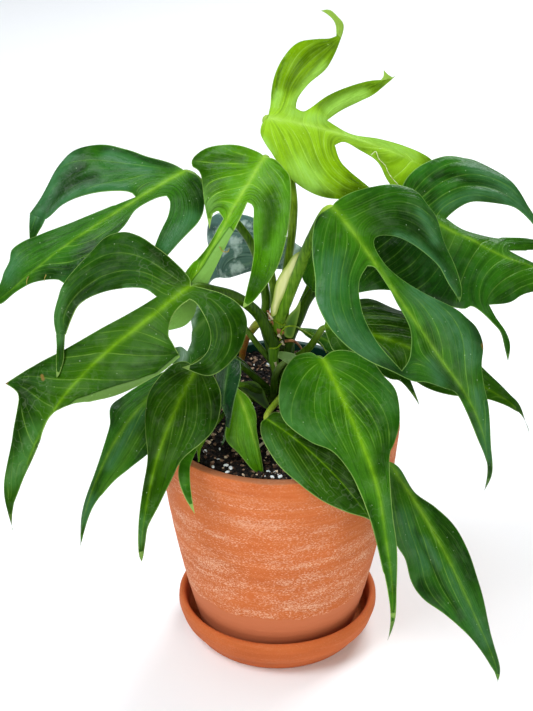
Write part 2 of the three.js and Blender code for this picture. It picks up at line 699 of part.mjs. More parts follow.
const stemClearance = stemSolid(seatGap);
const rootedStalk = toSolid(stalk(leaves.leaf_near_back_rim, seatGap));
addPiece(plant, 'potting_mix', soilGeometry(stemClearance.add(rootedStalk)), '#33251d', 0.95);
addPiece(plant, 'stem', toGeometry(stemSolid(0)), '#6f8a3c', 0.5);

for (const [name, leaf] of Object.entries(leaves)) {
  addPiece(plant, name, leafGeometry(leaf, stemClearance), leaf.colour, 0.4);
}

const clasped = toSolid(stalk(leaves.leaf_right, seatGap)).add(stemClearance);
const sheathSolid = largestBody(toSolid(blade(sheath)).subtract(clasped));
addPiece(plant, 'leaf_sheath', toGeometry(sheathSolid), sheath.colour, 0.5);

export default plant;
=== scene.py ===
# Potted lobed-leaf monstera in a terracotta pot. Metres, +Z up, seen from -Y.
import math

import bmesh
import bpy
import numpy as np
from mathutils import Matrix, Vector, noise
from mathutils.geometry import delaunay_2d_cdt


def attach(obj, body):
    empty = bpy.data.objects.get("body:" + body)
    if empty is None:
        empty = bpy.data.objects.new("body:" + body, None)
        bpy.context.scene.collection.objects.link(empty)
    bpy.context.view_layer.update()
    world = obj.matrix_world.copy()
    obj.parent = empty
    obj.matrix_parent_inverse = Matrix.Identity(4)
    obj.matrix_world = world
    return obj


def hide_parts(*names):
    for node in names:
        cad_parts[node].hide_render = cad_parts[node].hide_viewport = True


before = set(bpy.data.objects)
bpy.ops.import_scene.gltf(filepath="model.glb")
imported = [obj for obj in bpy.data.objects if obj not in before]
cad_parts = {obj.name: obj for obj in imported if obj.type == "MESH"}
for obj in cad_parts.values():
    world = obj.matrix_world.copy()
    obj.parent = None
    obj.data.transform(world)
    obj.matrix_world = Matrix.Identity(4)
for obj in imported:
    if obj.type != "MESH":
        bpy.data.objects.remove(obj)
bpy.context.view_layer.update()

mm = 0.001
print("frame loaded:", len(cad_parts), "nodes")


# sRGB hex to the linear colour that the shaders take
def linear(colour):
    channels = [int(colour[i:i + 2], 16) / 255 for i in (1, 3, 5)]
    return [c / 12.92 if c <= 0.04045 else ((c + 0.055) / 1.055) ** 2.4 for c in channels] + [1]


# Adds a node. Settings are its own properties; inputs are values, sockets, or nodes, which give
# their first live output.
def add(tree, kind, settings, inputs):
    node = tree.nodes.new(kind)
    for name, value in settings.items():
        if name == "stops":
            ramp = node.color_ramp
            while len(ramp.elements) < len(value):
                ramp.elements.new(0.5)
            for element, (position, colour) in zip(ramp.elements, value):
                element.position = position
                element.color = linear(colour)
        else:
            setattr(node, name, value)
    for socket, value in inputs.items():
        if isinstance(value, bpy.types.Node):
            value = next(output for output in value.outputs if output.enabled)
        if isinstance(value, bpy.types.NodeSocket):
            tree.links.new(value, node.inputs[socket])
        else:
            node.inputs[socket].default_value = value
    return node


# A new material, its node tree, and Object coordinates
def newMaterial(name):
    material = bpy.data.materials.new(name)
    material.use_nodes = True
    tree = material.node_tree
    tree.nodes.clear()
    return material, tree, add(tree, "ShaderNodeTexCoord", {}, {}).outputs["Object"]


# Lays coats of colour over a first one. Each coat is a value, the two ends between which it counts,
# how strong the coat is at either end, its colour, and whatever weakens it. One that dies away does
# so softly.
def layCoats(tree, colour, look, coats):
    for value, low, high, start, end, over, *weaker in coats:
        amount = add(tree, "ShaderNodeMapRange", {
            "interpolation_type": "SMOOTHSTEP" if start > end else "LINEAR",
        }, {"Value": value, "From Min": low, "From Max": high, "To Min": start, "To Max": end})
        for much in weaker:
            amount = add(tree, "ShaderNodeMath", {"operation": "MULTIPLY"}, {0: amount, 1: much})
        colour = add(tree, "ShaderNodeMix", {"data_type": "RGBA"}, {
            0: amount, 6: colour, 7: linear(look.get(over, over))})
    return colour


# Ends a material with its finish and a bump from a height
def addFinish(tree, colour, height, strength, distance, finish):
    bump = add(tree, "ShaderNodeBump", {}, {"Strength": strength, "Distance": distance, "Height": height})
    surface = add(tree, "ShaderNodeBsdfPrincipled", {}, {"Base Color": colour, **finish, "Normal": bump})
    add(tree, "ShaderNodeOutputMaterial", {}, {"Surface": surface})


# Mesh object from vertices in metres; smooth, with sharp edges past the angle
def newPiece(name, vertices, faces, sharpAngle=None):
    mesh = bpy.data.meshes.new(name)
    mesh.from_pydata([tuple(v) for v in vertices], [], [tuple(f) for f in faces])
    mesh.polygons.foreach_set("use_smooth", [True] * len(mesh.polygons))
    if sharpAngle is not None:
        mesh.set_sharp_from_angle(angle=math.radians(sharpAngle))
    piece = bpy.data.objects.new(name, mesh)
    bpy.context.scene.collection.objects.link(piece)
    return piece


def finishPiece(piece, slot, *nodes):
    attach(piece, "root")
    if nodes:
        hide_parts(*nodes)


# Camera
photo = {
    "height": 711,                      # pixels
    "sensor": 36,                       # mm
    "focal": 1679,                      # pixels
    "elevation": 28,                    # degrees looking down
    "distance": 1080.7,                 # mm
    "aim": (-7.6, 0, 208.7),            # mm
}


def makeCamera(spec):
    data = bpy.data.cameras.new("camera")
    data.sensor_fit = "VERTICAL"
    data.sensor_height = spec["sensor"]
    data.lens = spec["sensor"] * spec["focal"] / spec["height"]
    data.clip_start = 0.05
    camera = bpy.data.objects.new("camera", data)
    tilt = math.radians(spec["elevation"])
    back = Vector((0, -math.cos(tilt), math.sin(tilt)))
    camera.location = (Vector(spec["aim"]) + back * spec["distance"]) * mm
    camera.rotation_euler = (math.pi / 2 - tilt, 0, 0)
    bpy.context.scene.collection.objects.link(camera)
    bpy.context.scene.camera = camera


makeCamera(photo)

# Light and floor: a white room with one big soft light high on the left, as on the photo's leaves
studio = {
    "room": "#eef5ff", "roomStrength": 0.22,
    "floor": "#f7f6f4", "floorHalf": 4.0,   # metres
    "lightsAimAt": (0, 0, 0.2),
    "lights": [
        {"name": "key", "at": (-1.1, -0.6, 1.6), "size": 1.1, "watts": 36, "colour": "#f1f7ff"},
        {"name": "back", "at": (0.7, 1.2, 1.6), "size": 1.2, "watts": 38, "colour": "#f6faff"},
        {"name": "front", "at": (0.5, -1.9, 1.0), "size": 1.5, "watts": 21, "colour": "#fffdf8"},
    ],
}


def makeStudio(spec):
    world = bpy.data.worlds.new("white room")
    bpy.context.scene.world = world
    world.use_nodes = True
    background = world.node_tree.nodes["Background"]
    background.inputs["Color"].default_value = linear(spec["room"])
    background.inputs["Strength"].default_value = spec["roomStrength"]
    for light in spec["lights"]:
        data = bpy.data.lights.new(light["name"], "AREA")
        data.size = light["size"]
        data.energy = light["watts"]
        data.color = linear(light["colour"])[:3]
        lamp = bpy.data.objects.new(light["name"], data)
        lamp.location = light["at"]
        toPlant = Vector(spec["lightsAimAt"]) - Vector(light["at"])
        lamp.rotation_euler = toPlant.to_track_quat("-Z", "Y").to_euler()
        bpy.context.scene.collection.objects.link(lamp)

    half = spec["floorHalf"]
    corners = [(-half, -half, 0), (half, -half, 0), (half, half, 0), (-half, half, 0)]
    floor = newPiece("floor", corners, [(0, 1, 2, 3)])
    material, tree = newMaterial("painted board, matt")[:2]   # evens the light, shows contact shade
    board = add(tree, "ShaderNodeBsdfPrincipled", {}, {
        "Base Color": linear(spec["floor"]), "Roughness": 0.85, "Specular IOR Level": 0.2,
    })
    add(tree, "ShaderNodeOutputMaterial", {}, {"Surface": board.outputs["BSDF"]})
    floor.data.materials.append(material)
    bpy.context.scene.view_settings.view_transform = "Standard"


makeStudio(studio)
print("camera, light and floor made")


# Leaves. Sizes in millimetres, angles in degrees. Each leaf is a flat outline laid on a bent
# surface: outline points are (along the midrib, across it to the left). The midrib leaves "base"
# towards "heading", climbing by "rise"; over its length it droops by "sag" and turns by "swing".
# "roll" turns the blade about it. Its halves lift by "fold" beside the midrib and bow down again by
# "bow" degrees a millimetre. "veins" is how many side veins leave each side of the midrib, and
# "rib" is the midrib's line where it bends off the straight one, "ribWidth" its own half width.
# "turned" is a stretch that shows the blade's underside. "lap" is a lobe's tip that lies over or
# under another lobe, cut off the outline between its first and last points and raised by "lift"
# there and at its end. "strokes" are shallow channels darkened with painted shade, low ridges with
# a painted cool sheen, light parts and dry spots, each with the half width and the line it
# follows. A leaf has what "usualLeaf" says unless its own row says otherwise.
usualLeaf = {"swing": 0, "sag": 35, "fold": 8, "bow": 0.4}
leaves = {
    "leaf_upper_left": {
        "skin": "mature", "veins": 9,
        "base": (-58, 15, 330), "heading": -175, "rise": -20, "roll": -39, "length": 157,
        "sag": 30, "fold": 10, "bow": 0.35, "stalkRadius": 2.8,
        "stalk": [
            (-3, 8, 206), (-9, 14, 224), (-8, 18, 241), (-17, 20, 278), (-32, 19, 300), (-46, 17, 318),
        ],
        "rib": [(0, 0), (25, 4), (55, 7), (93, 7), (119, 6), (145, 3), (156, -2)],
        "lap": [(100, -29), (105, -21), (109, -14), (107, -12), (103, -14), (97, -16), (93, -18)],
        "lift": (0, -2),
        "strokes": [
            ("dark", 4, [(53, -22), (66, -26), (76, -28), (86, -26), (96, -22), (104, -16)]),
            ("dark", 3, [(56, -32), (70, -32), (82, -28)]),
            ("dark", 3, [(42, -38), (28, -28), (17, -15), (6, -6)]),
            ("dark", 6, [(-3, 9), (-5, 21), (-2, 30)]),
            ("dark", 7, [(72, 18), (87, 22), (98, 20), (112, 13)]),
            ("sheen", 6, [(61, -44), (72, -40), (85, -32), (97, -25)]),
            ("sheen", 3, [(38, -6), (52, -14), (64, -20), (80, -20), (94, -16)]),
            ("sheen", 4, [(40, -32), (30, -18), (21, -8)]),
            ("sheen", 5, [(5, 34), (15, 40), (27, 45)]),
            ("sheen", 6, [(124, -9), (132, -6)]),
        ],
        "outline": [
            (0, 0), (6, -8), (19, -20), (30, -32), (41, -42), (56, -47), (70, -45), (83, -38), (92, -33),
            (100, -29), (93, -18), (79, -19), (67, -17), (52, -11), (38, -3), (35, 2), (57, -1), (78, -5),
            (98, -11), (109, -15), (119, -17), (123, -16), (127, -12), (134, -9), (140, -6), (156, -2),
            (148, 5), (136, 7), (125, 10), (118, 13), (111, 17), (105, 22), (101, 28), (90, 27), (76, 26),
            (50, 18), (37, 11), (23, 10), (16, 12), (15, 18), (19, 26), (25, 32), (42, 46), (33, 51),
            (15, 45), (1, 37), (-6, 25), (-8, 15), (-6, 5),
        ],
    },
    "leaf_left": {
        "skin": "olive", "stalkSkin": "dark", "veins": 9,
        "base": (-53, -49, 282), "heading": -152, "rise": -33, "roll": -31, "length": 186,
        "sag": 30, "fold": 10, "bow": 0.35, "stalkRadius": 3.4,
        "stalk": [
            (-2, 0, 214), (-6, -1, 224), (-10, -3, 235), (-15, -6, 244), (-26, -18, 259), (-38, -32, 270),
        ],
        "rib": [
            (0, 0), (30, -3), (60, -8), (80, -11), (103, -13), (130, -12), (155, -8), (177, -4), (186, 0),
        ],
        "lap": [(75, -42), (80, -35), (86, -30), (93, -23), (90, -23), (83, -26), (77, -31), (71, -37)],
        "lift": (0, 3),
        "turned": [
            (34, 27), (52, 25), (62, 19), (79, 7), (96, -6), (106, -9), (116, -10), (126, -10), (133, -11),
            (135, -6), (126, -4), (112, -4), (100, 0), (90, 8), (78, 20), (56, 32), (36, 33),
        ],
        "strokes": [
            ("dark", 4, [(40, -46), (51, -47), (61, -42), (71, -36)]),
            ("dark", 8, [(110, -38), (120, -30), (136, -22)]),
            ("dark", 5, [(1, -36), (2, -22), (2, -7)]),
            ("dark", 4, [(30, 46), (36, 37)]),
            ("dark", 6, [(63, -35), (84, -44), (94, -47)]),
            ("sheen", 4, [(54, -58), (66, -49), (76, -38)]),
            ("sheen", 6, [(126, -16), (144, -13), (158, -14)]),
            ("sheen", 2, [(20, -15), (28, -28)]),
            ("light", 9, [(30, 10), (44, 12), (62, 6)]),
            ("dry", 1.6, [(114, -51), (118, -50)]),
            ("dry", 1.2, [(98, -33), (99, -30)]),
        ],
        "outline": [
            (0, 0), (-3, -5), (-3, -20), (-1, -35), (2, -48), (7, -58), (16, -65), (29, -65), (40, -64),
            (50, -62), (59, -57), (68, -51), (75, -42), (71, -37), (61, -41), (53, -43), (42, -39),
            (30, -30), (21, -19), (19, -10), (31, -13), (49, -19), (77, -31), (95, -42), (115, -51),
            (115, -40), (123, -34), (136, -29), (154, -22), (170, -14), (186, 0), (176, -5), (160, -7),
            (132, -10), (114, -13), (101, -7), (90, 4), (76, 16), (54, 26), (35, 29), (32, 19), (30, 13),
            (22, 7), (14, 5), (6, 6), (5, 12), (8, 25), (13, 34), (20, 39), (29, 39), (39, 34), (32, 49),
            (21, 54), (7, 53), (-4, 47), (-11, 39), (-13, 29), (-10, 17), (-6, 9), (-2, 2),
        ],
    },
    "leaf_middle": {
        "skin": "glossy", "veins": 8,
        "base": (-9, -5, 347), "heading": -157, "rise": -43, "roll": -40, "length": 122,
        "sag": 30, "fold": 10, "stalkRadius": 2.6,
        "turned": [
            (98, -6), (93, 4), (75, 8), (60, 9), (46, 10), (50, 20), (93, 20), (116, 20), (130, 4),
            (126, -6),
        ],
        "stalk": [(-1, 8, 216), (-2, 12, 230), (-3, 12, 250), (-6, 11, 270), (-7, 10, 300), (-8, 2, 330)],
        "rib": [(0, 0), (14, 3), (34, 5), (57, 7), (75, 6), (92, 4), (110, 2), (121, -1)],
        "strokes": [
            ("dark", 8, [(26, -34), (30, -31), (30, -25)]),
            ("dark", 3, [(24, -26), (16, -18), (10, -10)]),
            ("dark", 4, [(14, 20), (28, 29), (41, 34)]),
            ("dark", 7, [(66, 42), (76, 43)]),
            ("dark", 3, [(58, 4), (73, 3)]),
            ("sheen", 5, [(24, -4), (25, 0)]),
            ("sheen", 4, [(4, 24), (10, 30), (21, 36), (35, 40), (46, 42)]),
            ("sheen", 4, [(29, 20), (44, 28)]),
            ("light", 4, [(52, 10), (68, 12), (84, 12)]),
            ("light", 6, [(38, -16), (42, -10)]),
        ],
        "outline": [
            (0, 0), (0, -4), (4, -15), (10, -24), (19, -33), (27, -36), (31, -33), (32, -25), (46, -10),
            (55, -1), (46, -4), (43, -2), (45, 3), (65, 3), (85, -2), (105, -3), (122, -1), (124, 1),
            (117, 10), (108, 14), (96, 13), (86, 15), (68, 15), (44, 13), (28, 10), (28, 15), (37, 22),
            (51, 31), (70, 38), (88, 42), (78, 47), (57, 49), (36, 45), (17, 37), (0, 23), (-3, 13),
            (-3, 5),
        ],
    },
    "leaf_new_top": {
        "skin": "fresh", "veins": 7,
        "base": (-7, 30, 359), "heading": 9, "rise": -12, "roll": 58, "length": 122,
        "sag": 20, "fold": 10, "bow": 0.2, "stalkRadius": 2.8,
        "stalk": [(1, 8, 219), (4, 16, 232), (4, 22, 246), (9, 25, 289), (9, 27, 309), (2, 29, 340)],
        "turned": [(34, 60), (31, 66), (27, 70), (22, 71), (22, 76), (28, 77), (38, 71), (40, 58)],
        "lap": [(64, 40), (65, 43), (64, 47), (67, 45), (71, 44), (68, 42)], "lift": (0.7, 1.2),
        "strokes": [
            ("dark", 5, [(32, 54), (24, 47), (16, 37), (11, 22)]),
            ("dark", 2, [(34, 53), (28, 45), (22, 32), (16, 21)]),
            ("dark", 4, [(66, 38), (53, 32), (42, 24), (34, 14)]),
            ("dark", 3, [(18, -38), (34, -40), (49, -42)]),
            ("dark", 4, [(60, -26), (68, -30), (58, -36)]),
            ("dark", 4, [(106, 8), (112, 6)]),
            ("dark", 3, [(2, 14), (3, 24), (6, 36)]),
            ("sheen", 3, [(30, 39), (23, 29), (18, 18), (14, 11)]),
            ("sheen", 4, [(14, 6), (22, 4), (36, 6)]),
            ("sheen", 4, [(57, 28), (46, 20), (38, 12)]),
            ("sheen", 3, [(-2, -15), (4, -22)]),
            ("sheen", 8, [(24, -28), (34, -35)]),
            ("sheen", 4, [(50, 2), (64, 3), (82, 3), (98, 4)]),
            ("sheen", 2, [(4, 8), (5, 16)]),
        ],
        "outline": [
            (0, 0), (1, 7), (1, 23), (5, 38), (12, 49), (22, 54), (30, 57), (34, 60), (32, 67), (28, 71),
            (23, 73), (28, 75), (33, 72), (37, 68), (37, 60), (35, 49), (31, 37), (22, 25), (17, 15),
            (17, 9), (22, 8), (27, 12), (35, 21), (46, 30), (58, 38), (67, 42), (72, 46), (64, 32),
            (55, 23), (45, 14), (38, 6), (55, 2), (74, 5), (93, 7), (111, 7), (123, 0), (110, -16),
            (97, -23), (86, -18), (76, -9), (63, -6), (52, -4), (46, -8), (54, -19), (76, -28), (66, -37),
            (54, -42), (37, -42), (17, -34), (4, -22), (-3, -12), (-3, -4),
        ],
    },
    "leaf_right": {
        "skin": "mature", "stalkSkin": "right", "veins": 9,
        "base": (32, -20, 321), "heading": -35, "rise": -35, "roll": 28, "length": 199,
        "swing": -10, "fold": 10, "bow": 0.35, "stalkRadius": 3.6,
        "stalk": [(0, 6, 222), (0, 5, 231), (5, 3, 246), (12, 0, 267), (20, -8, 294)],
        "rib": [(0, 0), (30, -2), (62, -3), (88, -1), (113, 2), (137, 7), (160, 9), (180, 7), (199, 0)],
        "strokes": [
            ("dark", 5, [(58, -54), (72, -52), (86, -45), (99, -34), (108, -24)]),
            ("dark", 5, [(30, 30), (46, 34), (60, 34), (77, 30)]),
            ("dark", 4, [(93, 2), (110, 0), (126, 2), (138, 5)]),
            ("dark", 3, [(151, 6), (172, 6), (186, 6)]),
            ("dark", 4, [(1, -17), (-1, -8)]),
            ("dark", 4, [(100, 30), (114, 30)]),
            ("sheen", 7, [(44, -44), (56, -46), (68, -42), (78, -40), (88, -36)]),
            ("sheen", 8, [(29, -26), (39, -34)]),
            ("sheen", 3, [(34, 40), (44, 40), (52, 38)]),
            ("sheen", 3, [(38, 19), (48, 26), (63, 29), (78, 28), (88, 26)]),
            ("sheen", 8, [(72, 10), (90, 15), (108, 19), (119, 19)]),
            ("sheen", 4, [(112, -5), (125, -4)]),
            ("sheen", 4, [(140, 14), (160, 12), (178, 8)]),
            ("dry", 1.8, [(117, 30), (119, 30)]),
        ],
        "outline": [
            (0, 0), (-1, 5), (1, 16), (7, 29), (14, 40), (23, 48), (33, 49), (42, 49), (56, 43), (73, 38),
            (84, 34), (89, 29), (76, 29), (65, 30), (53, 27), (43, 22), (35, 16), (31, 9), (33, 5),
            (39, 3), (50, 3), (63, 7), (76, 14), (90, 24), (97, 28), (106, 32), (116, 31), (126, 24),
            (138, 20), (151, 18), (172, 12), (189, 8), (199, 0), (183, 6), (165, 5), (148, 4), (135, 2),
            (128, -5), (121, -13), (117, -20), (107, -28), (92, -39), (75, -47), (59, -50), (42, -47),
            (30, -39), (16, -31), (5, -21), (-1, -11),
        ],
        "hole": [
            (42, -7), (46, -16), (54, -23), (66, -28), (81, -29), (95, -27), (108, -23), (103, -15),
            (91, -7), (81, -5), (70, -5), (56, -4), (46, -4),
        ],
    },
    "leaf_upper_right": {
        "skin": "mature", "stalkSkin": "dark", "veins": 8,
        "base": (76, 15, 308), "heading": 2, "rise": -14, "roll": 40, "length": 140,
        "sag": 25, "fold": 10, "bow": 0.35, "stalkRadius": 3.2,
        "stalk": [(4, 6, 203), (8, 10, 218), (13, 13, 228), (18, 15, 240), (24, 16, 249), (50, 17, 282)],
        "rib": [
            (0, 0), (10, -4), (26, -8), (34, -10), (53, -12), (68, -14), (95, -10), (120, -5), (139, -1),
        ],
        "strokes": [
            ("dark", 4, [(17, 22), (29, 28), (45, 30), (61, 32), (78, 27)]),
            ("dark", 6, [(8, 14), (18, 10), (22, 4)]),
            ("dark", 14, [(-6, -33), (6, -43), (22, -51), (37, -55)]),
            ("sheen", 6, [(40, 40), (60, 37), (75, 26)]),
            ("sheen", 4, [(27, 5), (40, 16), (54, 26), (72, 24), (84, 19)]),
            ("light", 6, [(32, -8), (36, -16)]),
        ],
        "outline": [
            (0, 0), (0, 13), (5, 24), (13, 33), (24, 41), (35, 45), (44, 47), (59, 44), (73, 36), (84, 27),
            (97, 15), (86, 19), (74, 23), (61, 21), (46, 16), (38, 9), (31, -1), (43, -5), (61, -3),
            (75, 3), (90, 9), (112, 13), (92, 2), (77, -6), (94, -6), (139, -1), (99, -27), (87, -40),
            (72, -49), (80, -54), (90, -59), (98, -66), (101, -76), (89, -63), (80, -59), (61, -55),
            (53, -59), (29, -60), (-2, -61), (-20, -66), (-23, -47), (-19, -28), (-9, -11),
        ],
    },
    "leaf_behind_right": {
        "skin": "olive", "veins": 7,
        "base": (29, -5, 233), "heading": -11, "rise": -9, "roll": 31, "length": 151,
        "stalkRadius": 2.4,
        "stalk": [(0, 6, 196), (10, 4, 204), (19, 1, 213), (25, -2, 224)],
        "rib": [(0, 0), (46, 4), (84, 4), (113, 7), (130, 9), (143, 7), (151, 2)],
        "strokes": [
            ("dark", 8, [(25, 23), (41, 26)]),
            ("dark", 6, [(32, 7), (46, 14)]),
        ],
        "outline": [
            (0, 0), (1, 10), (9, 19), (17, 26), (25, 29), (38, 29), (61, 29), (105, 19), (125, 15),
            (136, 13), (151, 2), (137, 8), (114, 1), (91, -12), (75, -16), (62, -15), (76, -30), (59, -21),
            (48, -22), (18, -16), (10, -16), (4, -8),
        ],
    },
    "leaf_heart_front": {
        "skin": "leafy", "stalkSkin": "dark", "veins": 8,
        "base": (27, -42, 229), "heading": -56, "rise": -41, "roll": 18, "length": 188,
        "sag": 45, "swing": -10, "stalkRadius": 2.6,
        "stalk": [(-1, 5, 188), (5, -7, 200), (14, -24, 214)],
        "rib": [(0, 0), (29, 1), (56, 3), (87, 5), (118, 4), (157, 4), (187, 0)],
        "strokes": [
            ("dark", 6, [(54, 20), (64, 16), (76, 8)]),
            ("dark", 8, [(34, 7), (46, 14)]),
            ("dark", 3, [(95, -2), (118, 0), (151, 4)]),
            ("sheen", 7, [(16, -34), (26, -34), (38, -30), (45, -20)]),
            ("sheen", 4, [(94, 8), (120, 8), (144, 7)]),
            ("sheen", 5, [(30, 30), (42, 30)]),
        ],
        "outline": [
            (0, 0), (-2, 7), (1, 16), (11, 27), (24, 31), (35, 35), (51, 31), (63, 23), (69, 18), (83, 14),
            (104, 11), (125, 10), (151, 7), (171, 5), (187, 0), (169, 2), (150, 1), (129, -1), (104, -3),
            (86, -6), (72, -9), (57, -16), (47, -27), (33, -36), (22, -38), (9, -34), (-2, -26), (-8, -15),
            (-7, -5), (-3, -2),
        ],
    },
    "leaf_under_heart": {
        "skin": "olive", "stalkSkin": "bright", "veins": 6, "ribWidth": 0.5,
        "base": (-8, -55, 194), "heading": -30, "rise": -19, "roll": 36, "length": 104,
        "stalkRadius": 2,
        "stalk": [(0, 4, 173), (3, -8, 184), (2, -32, 197)],
        "strokes": [
            ("dark", 9, [(26, 2), (42, 2), (60, 2), (74, 2)]),
            ("sheen", 4, [(9, -10), (26, -15), (42, -18)]),
        ],
        "outline": [
            (0, 0), (-1, -4), (6, -12), (23, -19), (40, -20), (61, -17), (78, -9), (91, 0), (104, 1),
            (88, 11), (51, 18), (24, 13), (5, 8), (1, 5),
        ],
    },
    "leaf_low_right": {
        "skin": "mature", "veins": 5,
        "base": (69, -50, 160), "heading": -33, "rise": -48, "roll": 29, "length": 165,
        "sag": 20, "stalkRadius": 2.2,
        "stalk": [(0, 6, 177), (8, 2, 183), (20, -8, 190), (46, -30, 194), (62, -44, 182)],
        "rib": [(0, 0), (75, 1), (118, 1), (140, 2), (155, 2), (165, 0)],
        "strokes": [
            ("dark", 4, [(13, -2), (29, 4), (45, 10)]),
            ("dark", 9, [(50, 8), (71, 10), (90, 10)]),
            ("dark", 2, [(46, -10), (68, -10), (91, -10), (112, -8)]),
            ("dark", 6, [(80, -22), (91, -18)]),
            ("sheen", 4, [(2, 1), (10, 4), (20, 4)]),
            ("sheen", 5, [(33, -12), (52, -16), (68, -16)]),
            ("sheen", 5, [(82, -2), (108, -1), (135, 2)]),
            ("sheen", 3, [(54, -8), (74, -6)]),
        ],
        "outline": [
            (0, 0), (8, 4), (26, 4), (42, 11), (58, 16), (77, 16), (102, 13), (132, 7), (156, 5), (165, 0),
            (154, 0), (127, -7), (103, -18), (87, -26), (73, -28), (58, -25), (46, -25), (24, -20),
            (8, -10),
        ],
    },
    "leaf_heart_left": {
        "skin": "olive", "stalkSkin": "dark", "veins": 6,
        "base": (-51, -42, 222), "heading": -121, "rise": -40, "roll": -16, "length": 127,
        "stalkRadius": 2,
        "stalk": [(-3, 4, 177), (-10, 1, 186), (-18, -5, 198), (-25, -12, 209), (-40, -30, 222)],
        "rib": [(0, 0), (30, -2), (62, -3), (94, -2), (110, -1), (127, 1)],
        "strokes": [
            ("dark", 6, [(9, -12), (2, 7)]),
            ("dark", 6, [(49, -3), (62, -7), (81, -4)]),
            ("dark", 5, [(12, 18), (24, 22)]),
            ("sheen", 4, [(100, -2), (112, -1)]),
        ],
        "outline": [
            (0, 0), (-3, 6), (2, 14), (10, 21), (22, 25), (33, 25), (44, 20), (57, 12), (72, 9), (89, 5),
            (103, 1), (113, 1), (127, 1), (121, -2), (103, -5), (83, -7), (63, -9), (48, -15), (38, -19),
            (25, -22), (14, -20), (3, -15), (-2, -8),
        ],
    },
    "leaf_low_left": {
        "skin": "mature", "stalkSkin": "dark", "veins": 6,
        "base": (-56, -25, 215), "heading": -147, "rise": -35, "roll": -24, "length": 138,
        "stalkRadius": 1.8,
        "stalk": [(-3, 5, 178), (-10, 3, 186), (-18, -2, 198), (-25, -8, 209), (-38, -16, 220)],
        "rib": [(0, 0), (25, -5), (50, -8), (81, -8), (108, -6), (124, -4), (138, -1)],
        "strokes": [
            ("dark", 6, [(46, -22), (56, -18)]),
            ("dark", 3, [(52, -8), (72, -6), (89, -6), (108, -6)]),
            ("sheen", 4, [(43, -4), (60, -4), (80, -4)]),
            ("sheen", 4, [(106, -6), (120, -4)]),
            ("light", 4, [(57, 4), (76, 3), (98, 0)]),
        ],
        "outline": [
            (0, 1), (9, -8), (19, -13), (38, -21), (50, -25), (61, -18), (74, -14), (90, -11), (110, -9),
            (124, -6), (138, -1), (127, -2), (109, -2), (90, 3), (74, 10), (58, 16), (33, 23), (12, 17),
        ],
    },
    "leaf_small_folded": {
        "skin": "deep", "stalkSkin": "dark", "veins": 3,
        "base": (-30, -35, 227), "heading": -108, "rise": -56, "roll": -10, "length": 58,
        "sag": 25, "fold": 30, "stalkRadius": 1.8,
        "stalk": [(-3, 3, 178), (-9, 0, 187), (-17, -8, 199), (-25, -22, 214)],
        "outline": [
            (0, 0), (9, -7), (25, -4), (40, 2), (58, 0), (47, 5), (27, 7), (12, 9), (2, 7),
        ],
    },
    "leaf_small_light": {
        "skin": "glossy", "stalkSkin": "dark", "veins": 4,
        "base": (-27, -38, 207), "heading": -56, "rise": -46, "roll": 21, "length": 57,
        "sag": 25, "fold": 10, "stalkRadius": 2,
        "stalk": [(-3, 5, 179), (-8, -4, 184), (-15, -17, 193), (-22, -30, 204)],
        "strokes": [
            ("sheen", 3, [(8, -2), (28, -4), (41, -2)]),
        ],
        "outline": [
            (0, 0), (9, 5), (20, 6), (32, 3), (58, 1), (54, -5), (42, -11), (30, -17), (18, -12), (6, -5),
        ],
    },
    "leaf_over_rim": {
        "skin": "leafy", "stalkSkin": "dark", "veins": 3,
        "base": (-49, -60, 178), "heading": -93, "rise": -34, "roll": -2, "length": 44,
        "fold": 20, "stalkRadius": 1.7,
        "stalk": [(-3, 6, 172), (-14, -6, 180), (-32, -38, 190)],
        "outline": [
            (0, 0), (11, -4), (17, -5), (28, -4), (44, -1), (33, -8), (23, -12), (14, -12), (5, -8),
        ],
    },
    "leaf_back": {
        "skin": "silver", "veins": 5,
        "base": (18, 45, 263), "heading": 159, "rise": -16, "roll": -50, "length": 81,
        "sag": 25, "stalkRadius": 2.2,
        "stalk": [(-1, 9, 182), (-3, 20, 202), (6, 34, 234)],
        "outline": [
            (0, 0), (7, -5), (18, -15), (36, -31), (46, -38), (60, -46), (69, -43), (72, -31), (73, -14),
            (82, 0), (74, -2), (61, 3), (45, 5), (31, 7), (16, 11), (4, 8),
        ],
    },
    "leaf_curled": {
        "skin": "whitishSheen", "veins": 4,
        "base": (-46, 3, 234), "heading": -165, "rise": -43, "roll": -44, "length": 40,
        "sag": 20, "stalkRadius": 1.8,
        "stalk": [(-2, 7, 198), (-12, 9, 210), (-28, 9, 230)],
        "strokes": [
            ("sheen", 2, [(-2, -10), (4, -8), (9, -4)]),
            ("light", 2, [(9, -4), (16, 2), (22, 6)]),
            ("sheen", 3, [(24, -1), (28, 4), (34, 6)]),
        ],
        "outline": [
            (-4, -11), (-4, -3), (-1, 7), (4, 16), (14, 21), (27, 18), (37, 10), (39, 0), (29, -5),
            (25, -1), (25, 4), (18, 2), (12, -2), (7, -8), (1, -11),
        ],
    },
    "leaf_back_right": {
        "skin": "leafy", "veins": 4,
        "base": (27, 8, 279), "heading": 142, "rise": -68, "roll": -94, "length": 33,
        "sag": 20, "fold": 10, "bow": 0.5, "stalkRadius": 2,
        "stalk": [(1, 9, 188), (6, 20, 208), (14, 26, 230), (23, 25, 254)],
        "outline": [
            (-1, 0), (4, -6), (12, -9), (20, -10), (27, -7), (32, 1), (25, 11), (11, 15), (-2, 10),
        ],
    },
    "leaf_near_back_rim": {
        "skin": "mature", "veins": 3,
        "base": (13, 38, 209), "heading": 3, "rise": -21, "roll": 41, "length": 40,
        "sag": 20, "fold": 15, "stalkRadius": 1.6,
        "stalk": [(8, 30, 150), (9, 32, 180)],
        "outline": [
            (0, 0), (8, 3), (18, 5), (29, 4), (40, 0), (28, -7), (19, -5), (9, -3),
        ],
    },
    "leaf_bud": {
